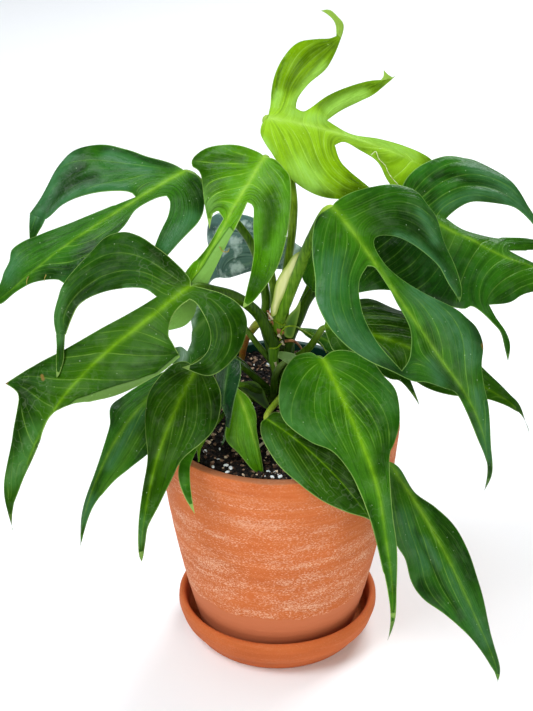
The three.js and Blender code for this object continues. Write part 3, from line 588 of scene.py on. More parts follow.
        "skin": "sage", "veins": 2,
        "base": (3, -8, 209), "heading": -18, "rise": 20, "roll": 47, "length": 13,
        "sag": 20, "fold": 15, "stalkRadius": 2.2,
        "stalk": [(-5, 2, 174), (-3, -3, 186), (-2, -5, 196), (1, -7, 204)],
        "outline": [
            (0, 0), (-4, 3), (-3, 7), (1, 6), (7, 4), (13, 0), (7, -4),
        ],
    },
}

bladeForm = {
    "step": 2.0,               # spacing of the mesh
    "cornerAngle": 62,         # an outline turns sharply past this, at tips and notches
    "thickness": 0.55,
    "wave": 1.8, "waveLength": 62, "waveReach": 40,
    "quilt": 0.6,              # how far the blade bulges between its side veins, and how far they
    "quiltGap": 9,             # are apart where it does so fully,
    "quiltMargin": 5,          # this far from the margin
    "swell": 1.3,              # height of its slow, uneven swells
    "swellFrom": 12,           # how far from the midrib they are full
    "edgeDrop": 1.5,           # how far the margin turns down
    "edgeReach": 4.5,          # how far in from it the turn has died away to a third
    "strokeFrom": 10,          # how far from the midrib the channels and ridges are full
    "veinCrowding": 0.75,      # below 1 the side veins stand closer towards the base
    "groove": 0.5,             # depth of the midrib's groove, above
    "ridge": 1.1,              # height of the midrib's ridge, below
    "stroke": 1.1,             # depth of the dark channels, and nearly the height of the ridges
    "turnedRise": 0.7,         # height of a turned stretch over the rest
    "ribWidth": 1.7,           # half width of the midrib at the base
    "basalVeins": 2.5,         # veins that curve back into the lobes behind the stalk
}


# Point at x, from 0 to 1, on a smooth curve with given directions at its ends
def hermite(start, end, leave, arrive, x):
    return ((2 * start - 2 * end + leave + arrive) * x ** 3
            + (3 * end - 3 * start - 2 * leave - arrive) * x ** 2 + leave * x + start)


def arcLengths(path):
    return np.concatenate([[0], np.cumsum(np.linalg.norm(np.diff(path, axis=0), axis=1))])


def smoothOutline(points, step, cornerAngle):
    flat = [Vector(p) for p in points]
    count = len(flat)

    def turnAt(i):
        before = flat[i] - flat[i - 1]
        after = flat[(i + 1) % count] - flat[i]
        return math.atan2(before.cross(after), before.dot(after))

    corners = [i for i in range(count) if i == 0 or abs(turnAt(i)) > math.radians(cornerAngle)]
    outline, isCorner = [], []
    for n, start in enumerate(corners):
        end = corners[n + 1] if n + 1 < len(corners) else count
        run = [flat[i % count] for i in range(start, end + 1)]
        for i in range(len(run) - 1):
            before, here, there = run[max(i - 1, 0)], run[i], run[i + 1]
            beyond = run[min(i + 2, len(run) - 1)]
            parts = math.ceil((there - here).length / step)
            for k in range(parts):
                outline.append(hermite(here, there, (there - before) / 2, (beyond - here) / 2, k / parts))
                isCorner.append(i == 0 and k == 0)
    return np.array([tuple(p) for p in outline]), np.array(isCorner)


def insideLoop(points, loop):
    inside = np.zeros(len(points), bool)
    following = np.roll(loop, -1, axis=0)
    for (ax, ay), (bx, by) in zip(loop, following):
        if ay == by:
            continue
        spans = (ay > points[:, 1]) != (by > points[:, 1])
        inside ^= spans & (points[:, 0] < ax + (bx - ax) * (points[:, 1] - ay) / (by - ay))
    return inside


def distanceTo(points, line, closed=True, cut=None):
    nearest = np.full(len(points), 1e9)
    starts, ends = (line, np.roll(line, -1, axis=0)) if closed else (line[:-1], line[1:])
    for a, b in zip(starts, ends):
        if cut is not None and distanceTo(np.array([(a + b) / 2]), cut, False)[0] < 0.05:
            continue
        edge = b - a
        share = np.clip(((points - a) @ edge) / max(edge @ edge, 1e-9), 0, 1)
        nearest = np.minimum(nearest, np.linalg.norm(points - a - share[:, None] * edge, axis=1))
    return nearest


def ribLine(leaf, step):
    path = curvePoints(leaf.get("rib", [(0, 0), (leaf["length"], 0)]), 12)
    arc = arcLengths(path)
    at = np.arange(0, arc[-1], step)
    return np.column_stack([np.interp(at, arc, path[:, k]) for k in (0, 1)])


# Flat mesh of a leaf: outline, hole, a row of points down the midrib, and a grid between them
def flatMesh(leaf, form):
    step = form["step"]
    apart = step * 0.55          # least distance of a grid point from the outline and the midrib
    outline, isCorner = smoothOutline(leaf["outline"], step, form["cornerAngle"])
    loops = [outline]
    if leaf.get("hole"):
        loops.append(smoothOutline(leaf["hole"], step, form["cornerAngle"])[0])
    rib = ribLine(leaf, step)
    low, high = outline.min(axis=0), outline.max(axis=0)
    rise = step * math.sqrt(3) / 2
    rows = []
    for row in range(int((high[1] - low[1]) / rise) + 1):
        along = np.arange(low[0] + (row % 2) * step / 2, high[0], step)
        rows.append(np.column_stack([along, np.full(len(along), low[1] + row * rise)]))
    grid = np.vstack(rows)
    grid = np.vstack([rib, grid[distanceTo(grid, rib, False) > apart]])
    keep = insideLoop(grid, outline)
    for loop in loops:
        keep &= distanceTo(grid, loop) > apart
    for loop in loops[1:]:
        keep &= ~insideLoop(grid, loop)
    points = np.vstack(loops + [grid[keep]])
    edges, start = [], 0
    for loop in loops:
        edges += [(start + i, start + (i + 1) % len(loop)) for i in range(len(loop))]
        start += len(loop)
    found = delaunay_2d_cdt([Vector(p) for p in points], edges, [], 0, 1e-4)
    points = np.array([tuple(p) for p in found[0]])
    triangles = np.array(found[2])
    centres = points[triangles].mean(axis=1)
    keep = insideLoop(centres, outline)
    for loop in loops[1:]:
        keep &= ~insideLoop(centres, loop)
    triangles = triangles[keep]
    corner = points[triangles]
    e1, e2 = corner[:, 1] - corner[:, 0], corner[:, 2] - corner[:, 0]
    facing = e1[:, 0] * e2[:, 1] - e1[:, 1] * e2[:, 0] > 0
    triangles = np.where(facing[:, None], triangles, triangles[:, ::-1])
    return points, triangles, outline, isCorner, loops, rib


# Side veins are level lines of a smooth field over the blade. The midrib sets the field's value
# where each vein leaves it, and each stretch of margin between two tips has a value of its own,
# so that veins run down every lobe and close up towards its tip.
def veinField(leaf, form, points, triangles, outline, isCorner, loops, rib):
    length, count = leaf["length"], leaf["veins"]

    def atMidrib(s):
        return count * np.clip(s / length, 0, 1) ** form["veinCrowding"]

    following = np.roll(outline, -1, axis=0)
    turning = np.sum(outline[:, 0] * following[:, 1] - outline[:, 1] * following[:, 0])
    before = outline - np.roll(outline, 1, axis=0)
    after = following - outline
    convex = (before[:, 0] * after[:, 1] - before[:, 1] * after[:, 0]) * turning > 0
    if "lap" in leaf:
        convex &= np.linalg.norm(outline - leaf["lap"][0], axis=1) > 0.1   # a cut has one tip, not two
    tip = int(np.argmax(outline[:, 0]))
    fromRib = distanceTo(outline, rib, False)
    value = np.zeros(len(outline))
    total = len(outline)
    isTip = isCorner & convex
    for side in (list(range(0, tip + 1)), [(total - i) % total for i in range(0, total - tip + 1)]):
        last = len(side) - 1
        tips = [0] + [n for n in range(1, last) if isTip[side[n]]] + [last]
        inner = [-form["basalVeins"]]
        for start, end in zip(tips[1:-1], tips[2:]):
            stretch = side[start:end + 1]
            deepest = stretch[int(np.argmin(fromRib[stretch]))]
            inner.append(float(atMidrib(outline[deepest, 0])))
        inner.append(float(count))
        for k, (start, end) in enumerate(zip(tips[:-1], tips[1:])):
            stretch = outline[side[start:end + 1]]
            arc = arcLengths(stretch)
            arc /= max(arc[-1], 1e-9)
            sinus = 0 if k == 0 else arc[int(np.argmin(fromRib[side[start:end + 1]]))]
            own, later = inner[k], inner[k + 1]
            earlier = inner[k - 1] if k else own
            falling = own - 0.3 * (own - earlier) * (1 - arc / max(sinus, 1e-6))
            rising = own + 0.45 * (later - own) * (arc - sinus) / max(1 - sinus, 1e-6)
            value[side[start:end + 1]] = np.where(arc < sinus, falling, rising)

    field = np.zeros(len(points))
    fixed = np.zeros(len(points), bool)
    field[:total] = value
    fixed[:total] = True
    if len(loops) > 1:
        hole = loops[1]
        field[total:total + len(hole)] = atMidrib(hole[np.argmin(distanceTo(hole, rib, False)), 0])
        fixed[total:total + len(hole)] = True
    onRib = (distanceTo(points, rib, False) < 1e-3) & ~fixed
    field[onRib] = atMidrib(points[onRib, 0])
    fixed |= onRib

    pairs = np.vstack([triangles[:, [0, 1]], triangles[:, [1, 2]], triangles[:, [2, 0]]])
    pairs = np.unique(np.sort(pairs, axis=1), axis=0)
    a, b = pairs[:, 0], pairs[:, 1]
    degree = np.bincount(np.concatenate([a, b]), minlength=len(points)).astype(float)

    def spread(x):
        return degree * x - np.bincount(a, x[b], len(points)) - np.bincount(b, x[a], len(points))

    # Conjugate gradients, until every free point has the mean of its neighbours
    free = ~fixed
    residual = np.where(free, -spread(field), 0)
    direction = residual.copy()
    size = residual @ residual
    for _ in range(600):
        if size < 1e-8:
            break
        moved = np.where(free, spread(direction), 0)
        share = size / (direction @ moved)
        field += share * direction
        residual -= share * moved
        fresh = residual @ residual
        direction = residual + (fresh / size) * direction
        size = fresh

    # How far apart the veins lie, in mm, from the field's slope round each point
    p, f = points[triangles], field[triangles]
    e1, e2 = p[:, 1] - p[:, 0], p[:, 2] - p[:, 0]
    area = e1[:, 0] * e2[:, 1] - e1[:, 1] * e2[:, 0]
    d1, d2 = f[:, 1] - f[:, 0], f[:, 2] - f[:, 0]
    slope = np.hypot(d1 * e2[:, 1] - d2 * e1[:, 1], d2 * e1[:, 0] - d1 * e2[:, 0]) / np.abs(area)
    weight = np.zeros(len(points))
    total = np.zeros(len(points))
    for k in range(3):
        np.add.at(total, triangles[:, k], slope * np.abs(area))
        np.add.at(weight, triangles[:, k], np.abs(area))
    return field, np.clip(weight / np.maximum(total, 1e-9), 0, 40)


# Point, forward, across and up at distances along the midrib
def midribFrame(leaf, along):
    steps = 24
    along = np.asarray(along, float)

    def direction(s):
        share = np.clip(s / leaf["length"], 0, 1)
        climb = np.radians(leaf["rise"] - leaf["sag"] * share)
        turn = np.radians(leaf["heading"] + leaf["swing"] * share)
        forward = np.stack([np.cos(climb) * np.cos(turn), np.cos(climb) * np.sin(turn), np.sin(climb)], -1)
        return forward, turn

    point = np.broadcast_to(np.array(leaf["base"], float), along.shape + (3,)).copy()
    for i in range(steps):
        point += direction((i + 0.5) * along / steps)[0] * (along / steps)[..., None]
    forward, turn = direction(along)
    across = np.stack([-np.sin(turn), np.cos(turn), np.zeros_like(turn)], -1)
    up = np.cross(forward, across)
    roll = math.radians(leaf["roll"])
    return (point, forward, across * math.cos(roll) + up * math.sin(roll),
            up * math.cos(roll) - across * math.sin(roll))


def onBlade(leaf, form, flat, raised):
    point, forward, across, up = midribFrame(leaf, flat[:, 0])
    fold, bow = math.radians(leaf["fold"]), math.radians(leaf["bow"])
    reach, side = np.abs(flat[:, 1]), np.sign(flat[:, 1])
    slope = fold - bow * reach
    out = (math.sin(fold) - np.sin(slope)) / bow
    lift = (np.cos(slope) - math.cos(fold)) / bow
    phase = np.where(side > 0, 0, 2)
    wave = form["wave"] * np.minimum(reach / form["waveReach"], 1) ** 2
    wave = wave * np.sin(2 * math.pi * flat[:, 0] / form["waveLength"] + phase)
    across = across * (side * (out - raised * np.sin(slope)))[:, None]
    return (point + across + up * (lift + wave + raised * np.cos(slope))[:, None]) * mm


def curvePoints(path, perSpan):
    path = np.array(path, float)
    path = np.vstack([2 * path[0] - path[1], path, 2 * path[-1] - path[-2]])
    points = []
    for i in range(1, len(path) - 2):
        p0, p1, p2, p3 = path[i - 1:i + 3]
        d0, d1, d2 = (np.linalg.norm(q - p) ** 0.5 for p, q in ((p0, p1), (p1, p2), (p2, p3)))
        leave = ((p1 - p0) / d0 - (p2 - p0) / (d0 + d1) + (p2 - p1) / d1) * d1
        arrive = ((p2 - p1) / d1 - (p3 - p1) / (d1 + d2) + (p3 - p2) / d2) * d1
        for k in range(perSpan + (i == len(path) - 3)):
            points.append(hermite(p1, p2, leave, arrive, k / perSpan))
    return np.array(points)


# Closed tube round a path; radiusAt(share, length) gives a radius in mm for each ring
def sweepTube(path, radiusAt, sides):
    steps = np.diff(path, axis=0)
    arc = arcLengths(path)
    forward = np.vstack([steps[:1], steps[1:] + steps[:-1], steps[-1:]])
    forward /= np.linalg.norm(forward, axis=1)[:, None]
    right = np.cross(forward[0], (0, 1, 0.01))
    rings = []
    angles = np.arange(sides) * 2 * math.pi / sides
    for i, centre in enumerate(path):
        right = right - forward[i] * (right @ forward[i])
        right /= np.linalg.norm(right)
        up = np.cross(right, forward[i])
        radius = radiusAt(arc[i] / arc[-1], arc[i])
        rings.append(centre + radius * (np.cos(angles)[:, None] * right + np.sin(angles)[:, None] * up))
    vertices = np.vstack(rings + [path[:1], path[-1:]])
    faces = []
    last = len(path) - 1
    for i in range(last):
        for k in range(sides):
            a, b = i * sides + k, i * sides + (k + 1) % sides
            faces.append((b, a, a + sides, b + sides))
    foot, top = len(path) * sides, len(path) * sides + 1
    for k in range(sides):
        faces.append((k, (k + 1) % sides, foot))
        faces.append((last * sides + (k + 1) % sides, last * sides + k, top))
    return vertices, faces, np.repeat(arc, sides)


stalkForm = {
    "sides": 14, "perSpan": 10,
    "sink": 11,                # how far the stalk runs on under the blade
    "tip": 0.3,                # how thin it gets there
    "drop": 1.0, "clear": 0.6,  # how far below the blade its middle lies: in its radii, and in mm
}


def stalkTube(leaf, form):
    point, forward, across, up = (v[0] for v in midribFrame(leaf, [0.0]))
    radius = leaf["stalkRadius"]
    joint = point - up * (radius * form["drop"] + form["clear"])
    end = point + forward * form["sink"] - up * (radius * form["drop"] * form["tip"] + form["clear"])
    path = curvePoints(leaf["stalk"] + [tuple(joint), tuple(end)], form["perSpan"])

    def radiusAt(share, arc):
        foot = 0.3 * math.exp(-arc / 16)                          # it widens to clasp the stem
        knee = 0.10 * math.exp(-((share - 0.93) / 0.035) ** 2)    # the swollen joint under the blade
        taper = 1.04 - 0.12 * share
        left = (1 - share) * arc / max(share, 0.01) / form["sink"]
        return radius * (taper + foot + knee) * (form["tip"] + (1 - form["tip"]) * min(1, left / 1.4))

    return sweepTube(path, radiusAt, form["sides"])


def setAttribute(mesh, name, values):
    attribute = mesh.attributes.new(name, "FLOAT", "POINT")
    attribute.data.foreach_set("value", np.asarray(values, np.float32))


# Both faces of a blade, joined round its margin; kinds is 0 for the top and 1 for the underside
def bladeShell(leaf, form, points, triangles, raised, half, ridge):
    count = len(points)
    above = onBlade(leaf, form, points, raised + half)
    below = onBlade(leaf, form, points, raised - half - ridge)
    faces = [tuple(t) for t in triangles] + [tuple(t[::-1] + count) for t in triangles]
    kinds = [0] * len(triangles) + [1] * len(triangles)
    directed = {(t[k], t[(k + 1) % 3]) for t in triangles.tolist() for k in range(3)}
    for a, b in sorted(directed):
        if (b, a) not in directed:
            faces.append((a, a + count, b + count, b))
            kinds.append(0)
    return np.vstack([above, below]), faces, kinds


def strokeAmount(leaf, points, wanted):
    amount = np.zeros(len(points))
    for kind, width, path in leaf.get("strokes", []):
        if kind == wanted:
            reach = distanceTo(points, curvePoints(path, 4), False)
            amount = np.maximum(amount, np.exp(-(reach / width) ** 2))
    return amount


def slowSwell(leaf, form, points):
    own = leaf["length"] * 0.37          # gives each leaf its own swells
    return form["swell"] * np.array([noise.noise((x * 0.045, y * 0.075, own)) for x, y in points])


def edgeTurn(form, margin):
    return form["edgeDrop"] * np.exp(-margin / form["edgeReach"])


# The blade thins to about a third at its margin
def halfThickness(form, margin):
    return form["thickness"] / 2 * np.clip(0.35 + margin / 1.2, 0, 1)


def mainBlade(leaf, form):
    points, triangles, outline, isCorner, loops, rib = flatMesh(leaf, form)
    field, gap = veinField(leaf, form, points, triangles, outline, isCorner, loops, rib)
    cut = np.array([leaf["lap"][0], leaf["lap"][-1]], float) if "lap" in leaf else None
    margin = np.min([distanceTo(points, loop, True, cut) for loop in loops], axis=0)
    reach = distanceTo(points, rib, False)
    share = np.clip(points[:, 0] / leaf["length"], 0, 1)
    ribWidth = leaf.get("ribWidth", form["ribWidth"]) * (leaf["length"] / 150) ** 0.35
    fromRib = reach / (ribWidth * (1 - share) ** 0.8 + 0.15)
    shade, sheen, light, dry = (
        strokeAmount(leaf, points, kind) for kind in ("dark", "sheen", "light", "dry"))
    turned = np.full(len(points), -5.0)
    if "turned" in leaf:
        border = np.array(leaf["turned"], float)
        turned = distanceTo(points, border) * np.where(insideLoop(points, border), 1, -1)
    between = np.abs(field - np.round(field)) * 2
    raised = form["quilt"] * np.sin(between * math.pi / 2)
    raised *= np.clip(gap / form["quiltGap"], 0, 1) * np.clip(margin / form["quiltMargin"], 0, 1)
    raised -= form["groove"] * np.exp(-fromRib ** 2) * (1 - share)
    raised += slowSwell(leaf, form, points) * np.clip(reach / form["swellFrom"], 0, 1)
    raised -= edgeTurn(form, margin) * np.clip(fromRib - 1, 0, 1)
    raised += form["stroke"] * (0.7 * sheen - shade) * np.clip(reach / form["strokeFrom"], 0, 1)
    raised += form["turnedRise"] * np.clip(turned / 2, 0, 1)
    half = halfThickness(form, margin)
    ridge = form["ridge"] * np.exp(-(fromRib / 0.9) ** 2) * (1 - share) ** 0.7
    return bladeShell(leaf, form, points, triangles, raised, half, ridge), {
        "flow": field, "gap": gap, "rib": fromRib, "margin": margin, "along": points[:, 0],
        "reach": reach, "turned": turned, "shade": shade, "sheen": sheen, "light": light, "dry": dry,
        "fade": 1 - share}


# Tip of a lobe on the other side of the next lobe. The line from its last point to its first is
# its root.
def lappedTip(leaf, form):
    points, triangles, outline = flatMesh({**leaf, "outline": leaf["lap"], "hole": []}, form)[:3]
    first, last = np.array(leaf["lap"][0], float), np.array(leaf["lap"][-1], float)
    cut = np.array([first, last])
    fromRoot = distanceTo(points, cut, False)
    margin = distanceTo(points, outline, True, cut)
    low, high = leaf["lift"]
    raised = low + (high - low) * np.clip(fromRoot / 10, 0, 1) + slowSwell(leaf, form, points)
    raised -= edgeTurn(form, margin)
    half = halfThickness(form, margin)
    across = (points - (first + last) / 2) @ (first - last) / np.linalg.norm(first - last)
    even = np.ones(len(points))
    return bladeShell(leaf, form, points, triangles, raised, half, 0 * even), {
        "flow": across / 7, "gap": 7 * even, "rib": 9 * even, "margin": margin, "along": points[:, 0],
        "reach": 30 * even, "turned": even * (9 if low else -5),
        "shade": strokeAmount(leaf, points, "dark"), "sheen": strokeAmount(leaf, points, "sheen"),
        "light": 0 * even, "dry": 0 * even, "fade": 0 * even}


def makeLeaf(node, leaf, form, skins):
    parts = [mainBlade(leaf, form)]
    if "lap" in leaf:
        parts.append(lappedTip(leaf, form))
    vertices, faces, kinds, values, first = [], [], [], {}, 0
    for (shell, shellFaces, shellKinds), attributes in parts:
        vertices.append(shell)
        faces += [tuple(first + i for i in face) for face in shellFaces]
        kinds += shellKinds
        first += len(shell)
        for attribute, own in attributes.items():
            values.setdefault(attribute, []).extend([own, own])
    tubeVertices, tubeFaces, tubeArc = stalkTube(leaf, stalkForm)
    faces += [tuple(first + i for i in face) for face in tubeFaces]
    kinds += [2] * len(tubeFaces)

    vertices.append(tubeVertices * mm)
    piece = newPiece(node.replace("leaf_", "") + "_leaf", np.vstack(vertices), faces, 50)
    mesh = piece.data
    for attribute, own in values.items():
        setAttribute(mesh, attribute, np.concatenate(own + [np.zeros(len(tubeVertices))]))
    arc = np.concatenate([tubeArc, [0, tubeArc[-1]]])
    setAttribute(mesh, "toBlade", np.concatenate([np.zeros(first), arc[-1] - arc]))
    top, under, stalk = skins[leaf["skin"]]
    for material in (top, under, stalkSkins.get(leaf.get("stalkSkin"), stalk)):
        mesh.materials.append(material)
    mesh.polygons.foreach_set("material_index", kinds)
    slots = {"glossy": "young_leaf", "fresh": "new_leaf"}
    finishPiece(piece, slots.get(leaf["skin"], "mature_leaf"), node)


# Leathery aroid leaf skin: a waxy cuticle over green tissue, which gives a satin gloss, its blue
# cast partly painted as a cool sheen in the colour, a soft pale midrib and fine side veins that fade
# before the margin
usualSkin = {"blotch": 0.03, "stain": 0, "turn": 0.9}
# In each look, the cool colour is a painted bluish sheen laid in patches, the sheen colour a painted
# highlight on the ridge strokes, and the channel colour painted shade in the channel strokes
skinLooks = {
    "mature": {
        "dark": "#153806", "channel": "#0e2a06", "light": "#2d6810", "cool": "#1f5420", "halo": "#3e760a",
        "vein": "#6f9c3c", "rib": "#7fae26", "edge": "#80a850", "speck": "#a9c49a", "under": "#5f8348",
        "pale": "#46741c", "sheen": "#3a6a3e", "gloss": 0.2, "shine": 0.11,
    },
    "olive": {
        "dark": "#112e00", "channel": "#0c2400", "light": "#234f04", "cool": "#1e460e", "halo": "#3c6a06",
        "vein": "#72963c", "rib": "#76a414", "edge": "#8fae58", "speck": "#b3c49a", "under": "#6d8f46",
        "pale": "#3c6420", "sheen": "#3c6a2e", "turn": 0.6, "stain": 0.06, "gloss": 0.28, "shine": 0.04,
    },
    "leafy": {
        "dark": "#1a4604", "channel": "#143a02", "light": "#2d680a", "cool": "#265a1a", "halo": "#467e0a",
        "vein": "#7fae40", "rib": "#82b414", "edge": "#9abb60", "speck": "#b9cfa0", "under": "#7f9c58",
        "pale": "#4a841a", "sheen": "#3e7030", "stain": 0.04, "gloss": 0.28, "shine": 0.05,
    },
    "glossy": {
        "dark": "#204800", "channel": "#1c4200", "light": "#417c00", "cool": "#3a7200", "halo": "#64a010",
        "vein": "#93c23c", "rib": "#9cc63c", "edge": "#a1c25e", "speck": "#bcd79a", "under": "#74a048",
        "pale": "#6c9848", "sheen": "#4f8a1c", "gloss": 0.2, "shine": 0.11,
    },
    "fresh": {
        "dark": "#557c00", "channel": "#3e6000", "light": "#8aba00", "cool": "#8cbe28", "halo": "#9ed030",
        "vein": "#b4e05c", "rib": "#b8e464", "edge": "#7fa828", "speck": "#b8db70", "under": "#8fb447",
        "pale": "#a4d060", "sheen": "#98cc50", "gloss": 0.2, "shine": 0.1,
    },
    "silver": {
        "dark": "#1c3026", "channel": "#16261e", "light": "#3a5648", "cool": "#54746c", "halo": "#4e6e58",
        "vein": "#7f9c84", "rib": "#6f8e6c", "edge": "#8fa78c", "speck": "#c6d8cc", "under": "#8ba76e",
        "pale": "#8fa78c", "sheen": "#7d9a94", "blotch": 0.6, "gloss": 0.18, "shine": 0.3,
    },
    "deep": {
        "dark": "#08200e", "channel": "#08200e", "light": "#12361a", "cool": "#1a4434", "halo": "#1c4a1c",
        "vein": "#3f6f30", "rib": "#4f8234", "edge": "#6f9a4c", "speck": "#a9c49a", "under": "#4f7a3c",
        "pale": "#4f7a3c", "sheen": "#35705a", "gloss": 0.2, "shine": 0.3,
    },
    "sage": {
        "dark": "#4f7030", "channel": "#3c5c24", "light": "#6c8e48", "cool": "#86a468", "halo": "#7fa058",
        "vein": "#a4c07c", "rib": "#a4c07c", "edge": "#a4c474", "speck": "#c5d6b2", "under": "#7a9a56",
        "pale": "#a9bf8f", "sheen": "#a9c0a0", "gloss": 0.35, "shine": 0.2,
    },
    # Dark green where the leaf curls in, with a painted whitish sheen along its edge and lower arm
    "whitishSheen": {
        "dark": "#1c4a06", "channel": "#184204", "light": "#2f6a12", "cool": "#2f6420", "halo": "#3f7214",
        "vein": "#6f9a4c", "rib": "#5f8a34", "edge": "#8fae64", "speck": "#c5d6b2", "under": "#8fae86",
        "pale": "#86a483", "sheen": "#9ab49c", "gloss": 0.3, "shine": 0.1,
    },
}


def leafTop(name, look):
    material, tree, place = newMaterial(name)
    flow, gap, rib, margin, along, reach, turned, shade, sheen, light, dry, fade = (
        add(tree, "ShaderNodeAttribute", {"attribute_name": which}, {}).outputs["Fac"] for which in (
            "flow", "gap", "rib", "margin", "along", "reach", "turned", "shade", "sheen", "light", "dry",
            "fade"))
    run = add(tree, "ShaderNodeMath", {"operation": "MULTIPLY"}, {0: along, 1: 0.02})
    drift = add(tree, "ShaderNodeCombineXYZ", {}, {0: flow, 1: run})
    # The second noise raises crease bumps and also lays painted shade along them
    streaks, creasesAndShade = (
        add(tree, "ShaderNodeTexNoise", {"noise_dimensions": "2D"}, {
            "Vector": drift, "Scale": scale, "Detail": detail}) for scale, detail in ((6, 3), (2.2, 2)))
    cloud, patch, blotch, mottle, drops = (         # 40, 80, 8, 2 and 7 mm wide
        add(tree, "ShaderNodeTexNoise", {}, {"Vector": place, "Scale": scale, "Detail": detail})
        for scale, detail in ((26, 3), (13, 2), (120, 3), (420, 4), (150, 1)))

    # Green tissue: uneven, yellower beside the midrib, with a painted cool sheen in patches, painted
    # shade in crease streaks and in the channels, and a painted highlight along the ridges
    nearStalk = add(tree, "ShaderNodeMapRange", {}, {"Value": fade, "From Max": 0.5, "To Min": 0.2})
    broken = add(tree, "ShaderNodeMapRange", {}, {
        "Value": streaks, "From Min": 0.3, "From Max": 0.6, "To Min": 0.55})
    colour = layCoats(tree, linear(look["dark"]), look, (
        (cloud, 0.35, 0.65, 0, 1, "light"),
        (patch, 0.42, 0.6, 0, 0.6, "cool"),
        (reach, 0, 26, 0.45, 0, "halo", nearStalk),
        (light, 0, 1, 0, 0.75, "pale"),
        (streaks, 0.48, 0.75, 0, 0.25, "halo"),
        (creasesAndShade, 0.5, 0.7, 0, 0.6, "dark"),
        (mottle, 0.5, 0.75, 0, 0.14, "halo"),
        (shade, 0, 1, 0, 0.95, "channel", broken),
        (sheen, 0, 1, 0, 1, "sheen", broken),
    ))

    # Side veins, the finer ones between them, and the finest about 1 mm apart. They are strongest
    # near the midrib, and each is a little stronger or weaker than the next
    number = add(tree, "ShaderNodeMath", {"operation": "MULTIPLY_ADD"}, {
        0: add(tree, "ShaderNodeMath", {"operation": "ROUND"}, {0: flow}), 1: 3.3, 2: rib})
    chance = add(tree, "ShaderNodeTexNoise", {"noise_dimensions": "2D"}, {
        "Vector": add(tree, "ShaderNodeCombineXYZ", {}, {0: number, 1: along}), "Scale": 0.13, "Detail": 1})
    strength = add(tree, "ShaderNodeMapRange", {}, {
        "Value": chance, "From Min": 0.35, "From Max": 0.65, "To Min": 0.45})
    for value, low, high, start, end in ((reach, 1, 30, 1, 0.4), (margin, 0.5, 6, 0, 1), (gap, 2.5, 7, 0, 1)):
        tone = add(tree, "ShaderNodeMapRange", {"interpolation_type": "SMOOTHSTEP"}, {
            "Value": value, "From Min": low, "From Max": high, "To Min": start, "To Max": end})
        strength = add(tree, "ShaderNodeMath", {"operation": "MULTIPLY"}, {0: strength, 1: tone})
    height = mottle
    for times, wide, most, over in (
        (1, 2.4, 0.34, "halo"), (9, 0.3, 0.14, "halo"), (3, 0.5, 0.2, "vein"), (1, 0.6, 0.52, "vein"),
    ):
        line = flow
        for operation, by in (("MULTIPLY", times), ("PINGPONG", 0.5), ("MULTIPLY", gap), ("DIVIDE", times)):
            line = add(tree, "ShaderNodeMath", {"operation": operation}, {0: line, 1: by})
        line = add(tree, "ShaderNodeMapRange", {"interpolation_type": "SMOOTHSTEP"}, {
            "Value": line, "From Min": 0.05, "From Max": wide, "To Min": most, "To Max": 0})
        line = add(tree, "ShaderNodeMath", {"operation": "MULTIPLY"}, {0: line, 1: strength})
        colour = layCoats(tree, colour, look, ((line, 0, 1, 0, 1, over),))
        height = add(tree, "ShaderNodeMath", {"operation": "MULTIPLY_ADD"}, {0: line, 1: -0.9, 2: height})

    # Marks: the drying outlines of drops of hard water, and small pale dots of spray 4 mm apart
    level = add(tree, "ShaderNodeMath", {"operation": "SUBTRACT"}, {0: drops, 1: 0.54})
    level = add(tree, "ShaderNodeMath", {"operation": "ABSOLUTE"}, {0: level})
    wetted = add(tree, "ShaderNodeMapRange", {}, {"Value": cloud, "From Min": 0.45, "From Max": 0.56})
    dots = add(tree, "ShaderNodeTexVoronoi", {}, {"Vector": place, "Scale": 260})
    size = add(tree, "ShaderNodeSeparateColor", {}, {0: dots.outputs["Color"]})
    size = add(tree, "ShaderNodeMapRange", {}, {"Value": size, "From Min": 0.3, "To Max": 0.11})
    dot = add(tree, "ShaderNodeMath", {"operation": "LESS_THAN"}, {0: dots.outputs["Distance"], 1: size})

    # The midrib is a soft uneven glow with a thin brighter core, weaker towards the tip. The margin
    # has a thin dry line. Where it turned over it shows the matt underside, with painted shade along
    # the crease of the fold
    uneven = add(tree, "ShaderNodeMapRange", {}, {
        "Value": blotch, "From Min": 0.35, "From Max": 0.6, "To Min": 0.5})
    fading = add(tree, "ShaderNodeMapRange", {}, {"Value": fade, "From Max": 0.8, "To Min": 0.1})
    gappy = add(tree, "ShaderNodeMapRange", {}, {
        "Value": cloud, "From Min": 0.38, "From Max": 0.6, "To Min": 0.2, "To Max": 0.75})
    foldCreaseShade = add(tree, "ShaderNodeMath", {"operation": "ABSOLUTE"}, {0: turned})
    foldCreaseShade = add(tree, "ShaderNodeMapRange", {"interpolation_type": "SMOOTHSTEP"}, {
        "Value": foldCreaseShade, "From Min": 0, "From Max": 0.8, "To Min": 0.6, "To Max": 0})
    colour = layCoats(tree, colour, look, (
        (rib, 0, 5, 0.6, 0, "halo", uneven, fading),
        (rib, 0, 2.2, 0.45, 0, "rib", uneven, fading),
        (rib, 0, 0.9, 0.45, 0, "rib", uneven, fading),
        (blotch, 0.5, 0.66, 0, look["blotch"], "speck"),
        (level, 0.03, 0.006, 0, look["stain"], "speck", wetted),
        (dot, 0, 1, 0, 0.38, "speck"),
        (margin, 0.15, 0.65, 1, 0, "edge", gappy),
        (dry, 0.3, 0.7, 0, 1, "#75602c"),
        (turned, -0.2, 0.2, 0, look["turn"], "under"),
        (foldCreaseShade, 0, 1, 0, 1, "dark"),
    ))
    for pattern, much in ((creasesAndShade, 1.3), (streaks, 0.6), (blotch, 4 * look["blotch"]), (foldCreaseShade, -1)):
        height = add(tree, "ShaderNodeMath", {"operation": "MULTIPLY_ADD"}, {0: pattern, 1: much, 2: height})
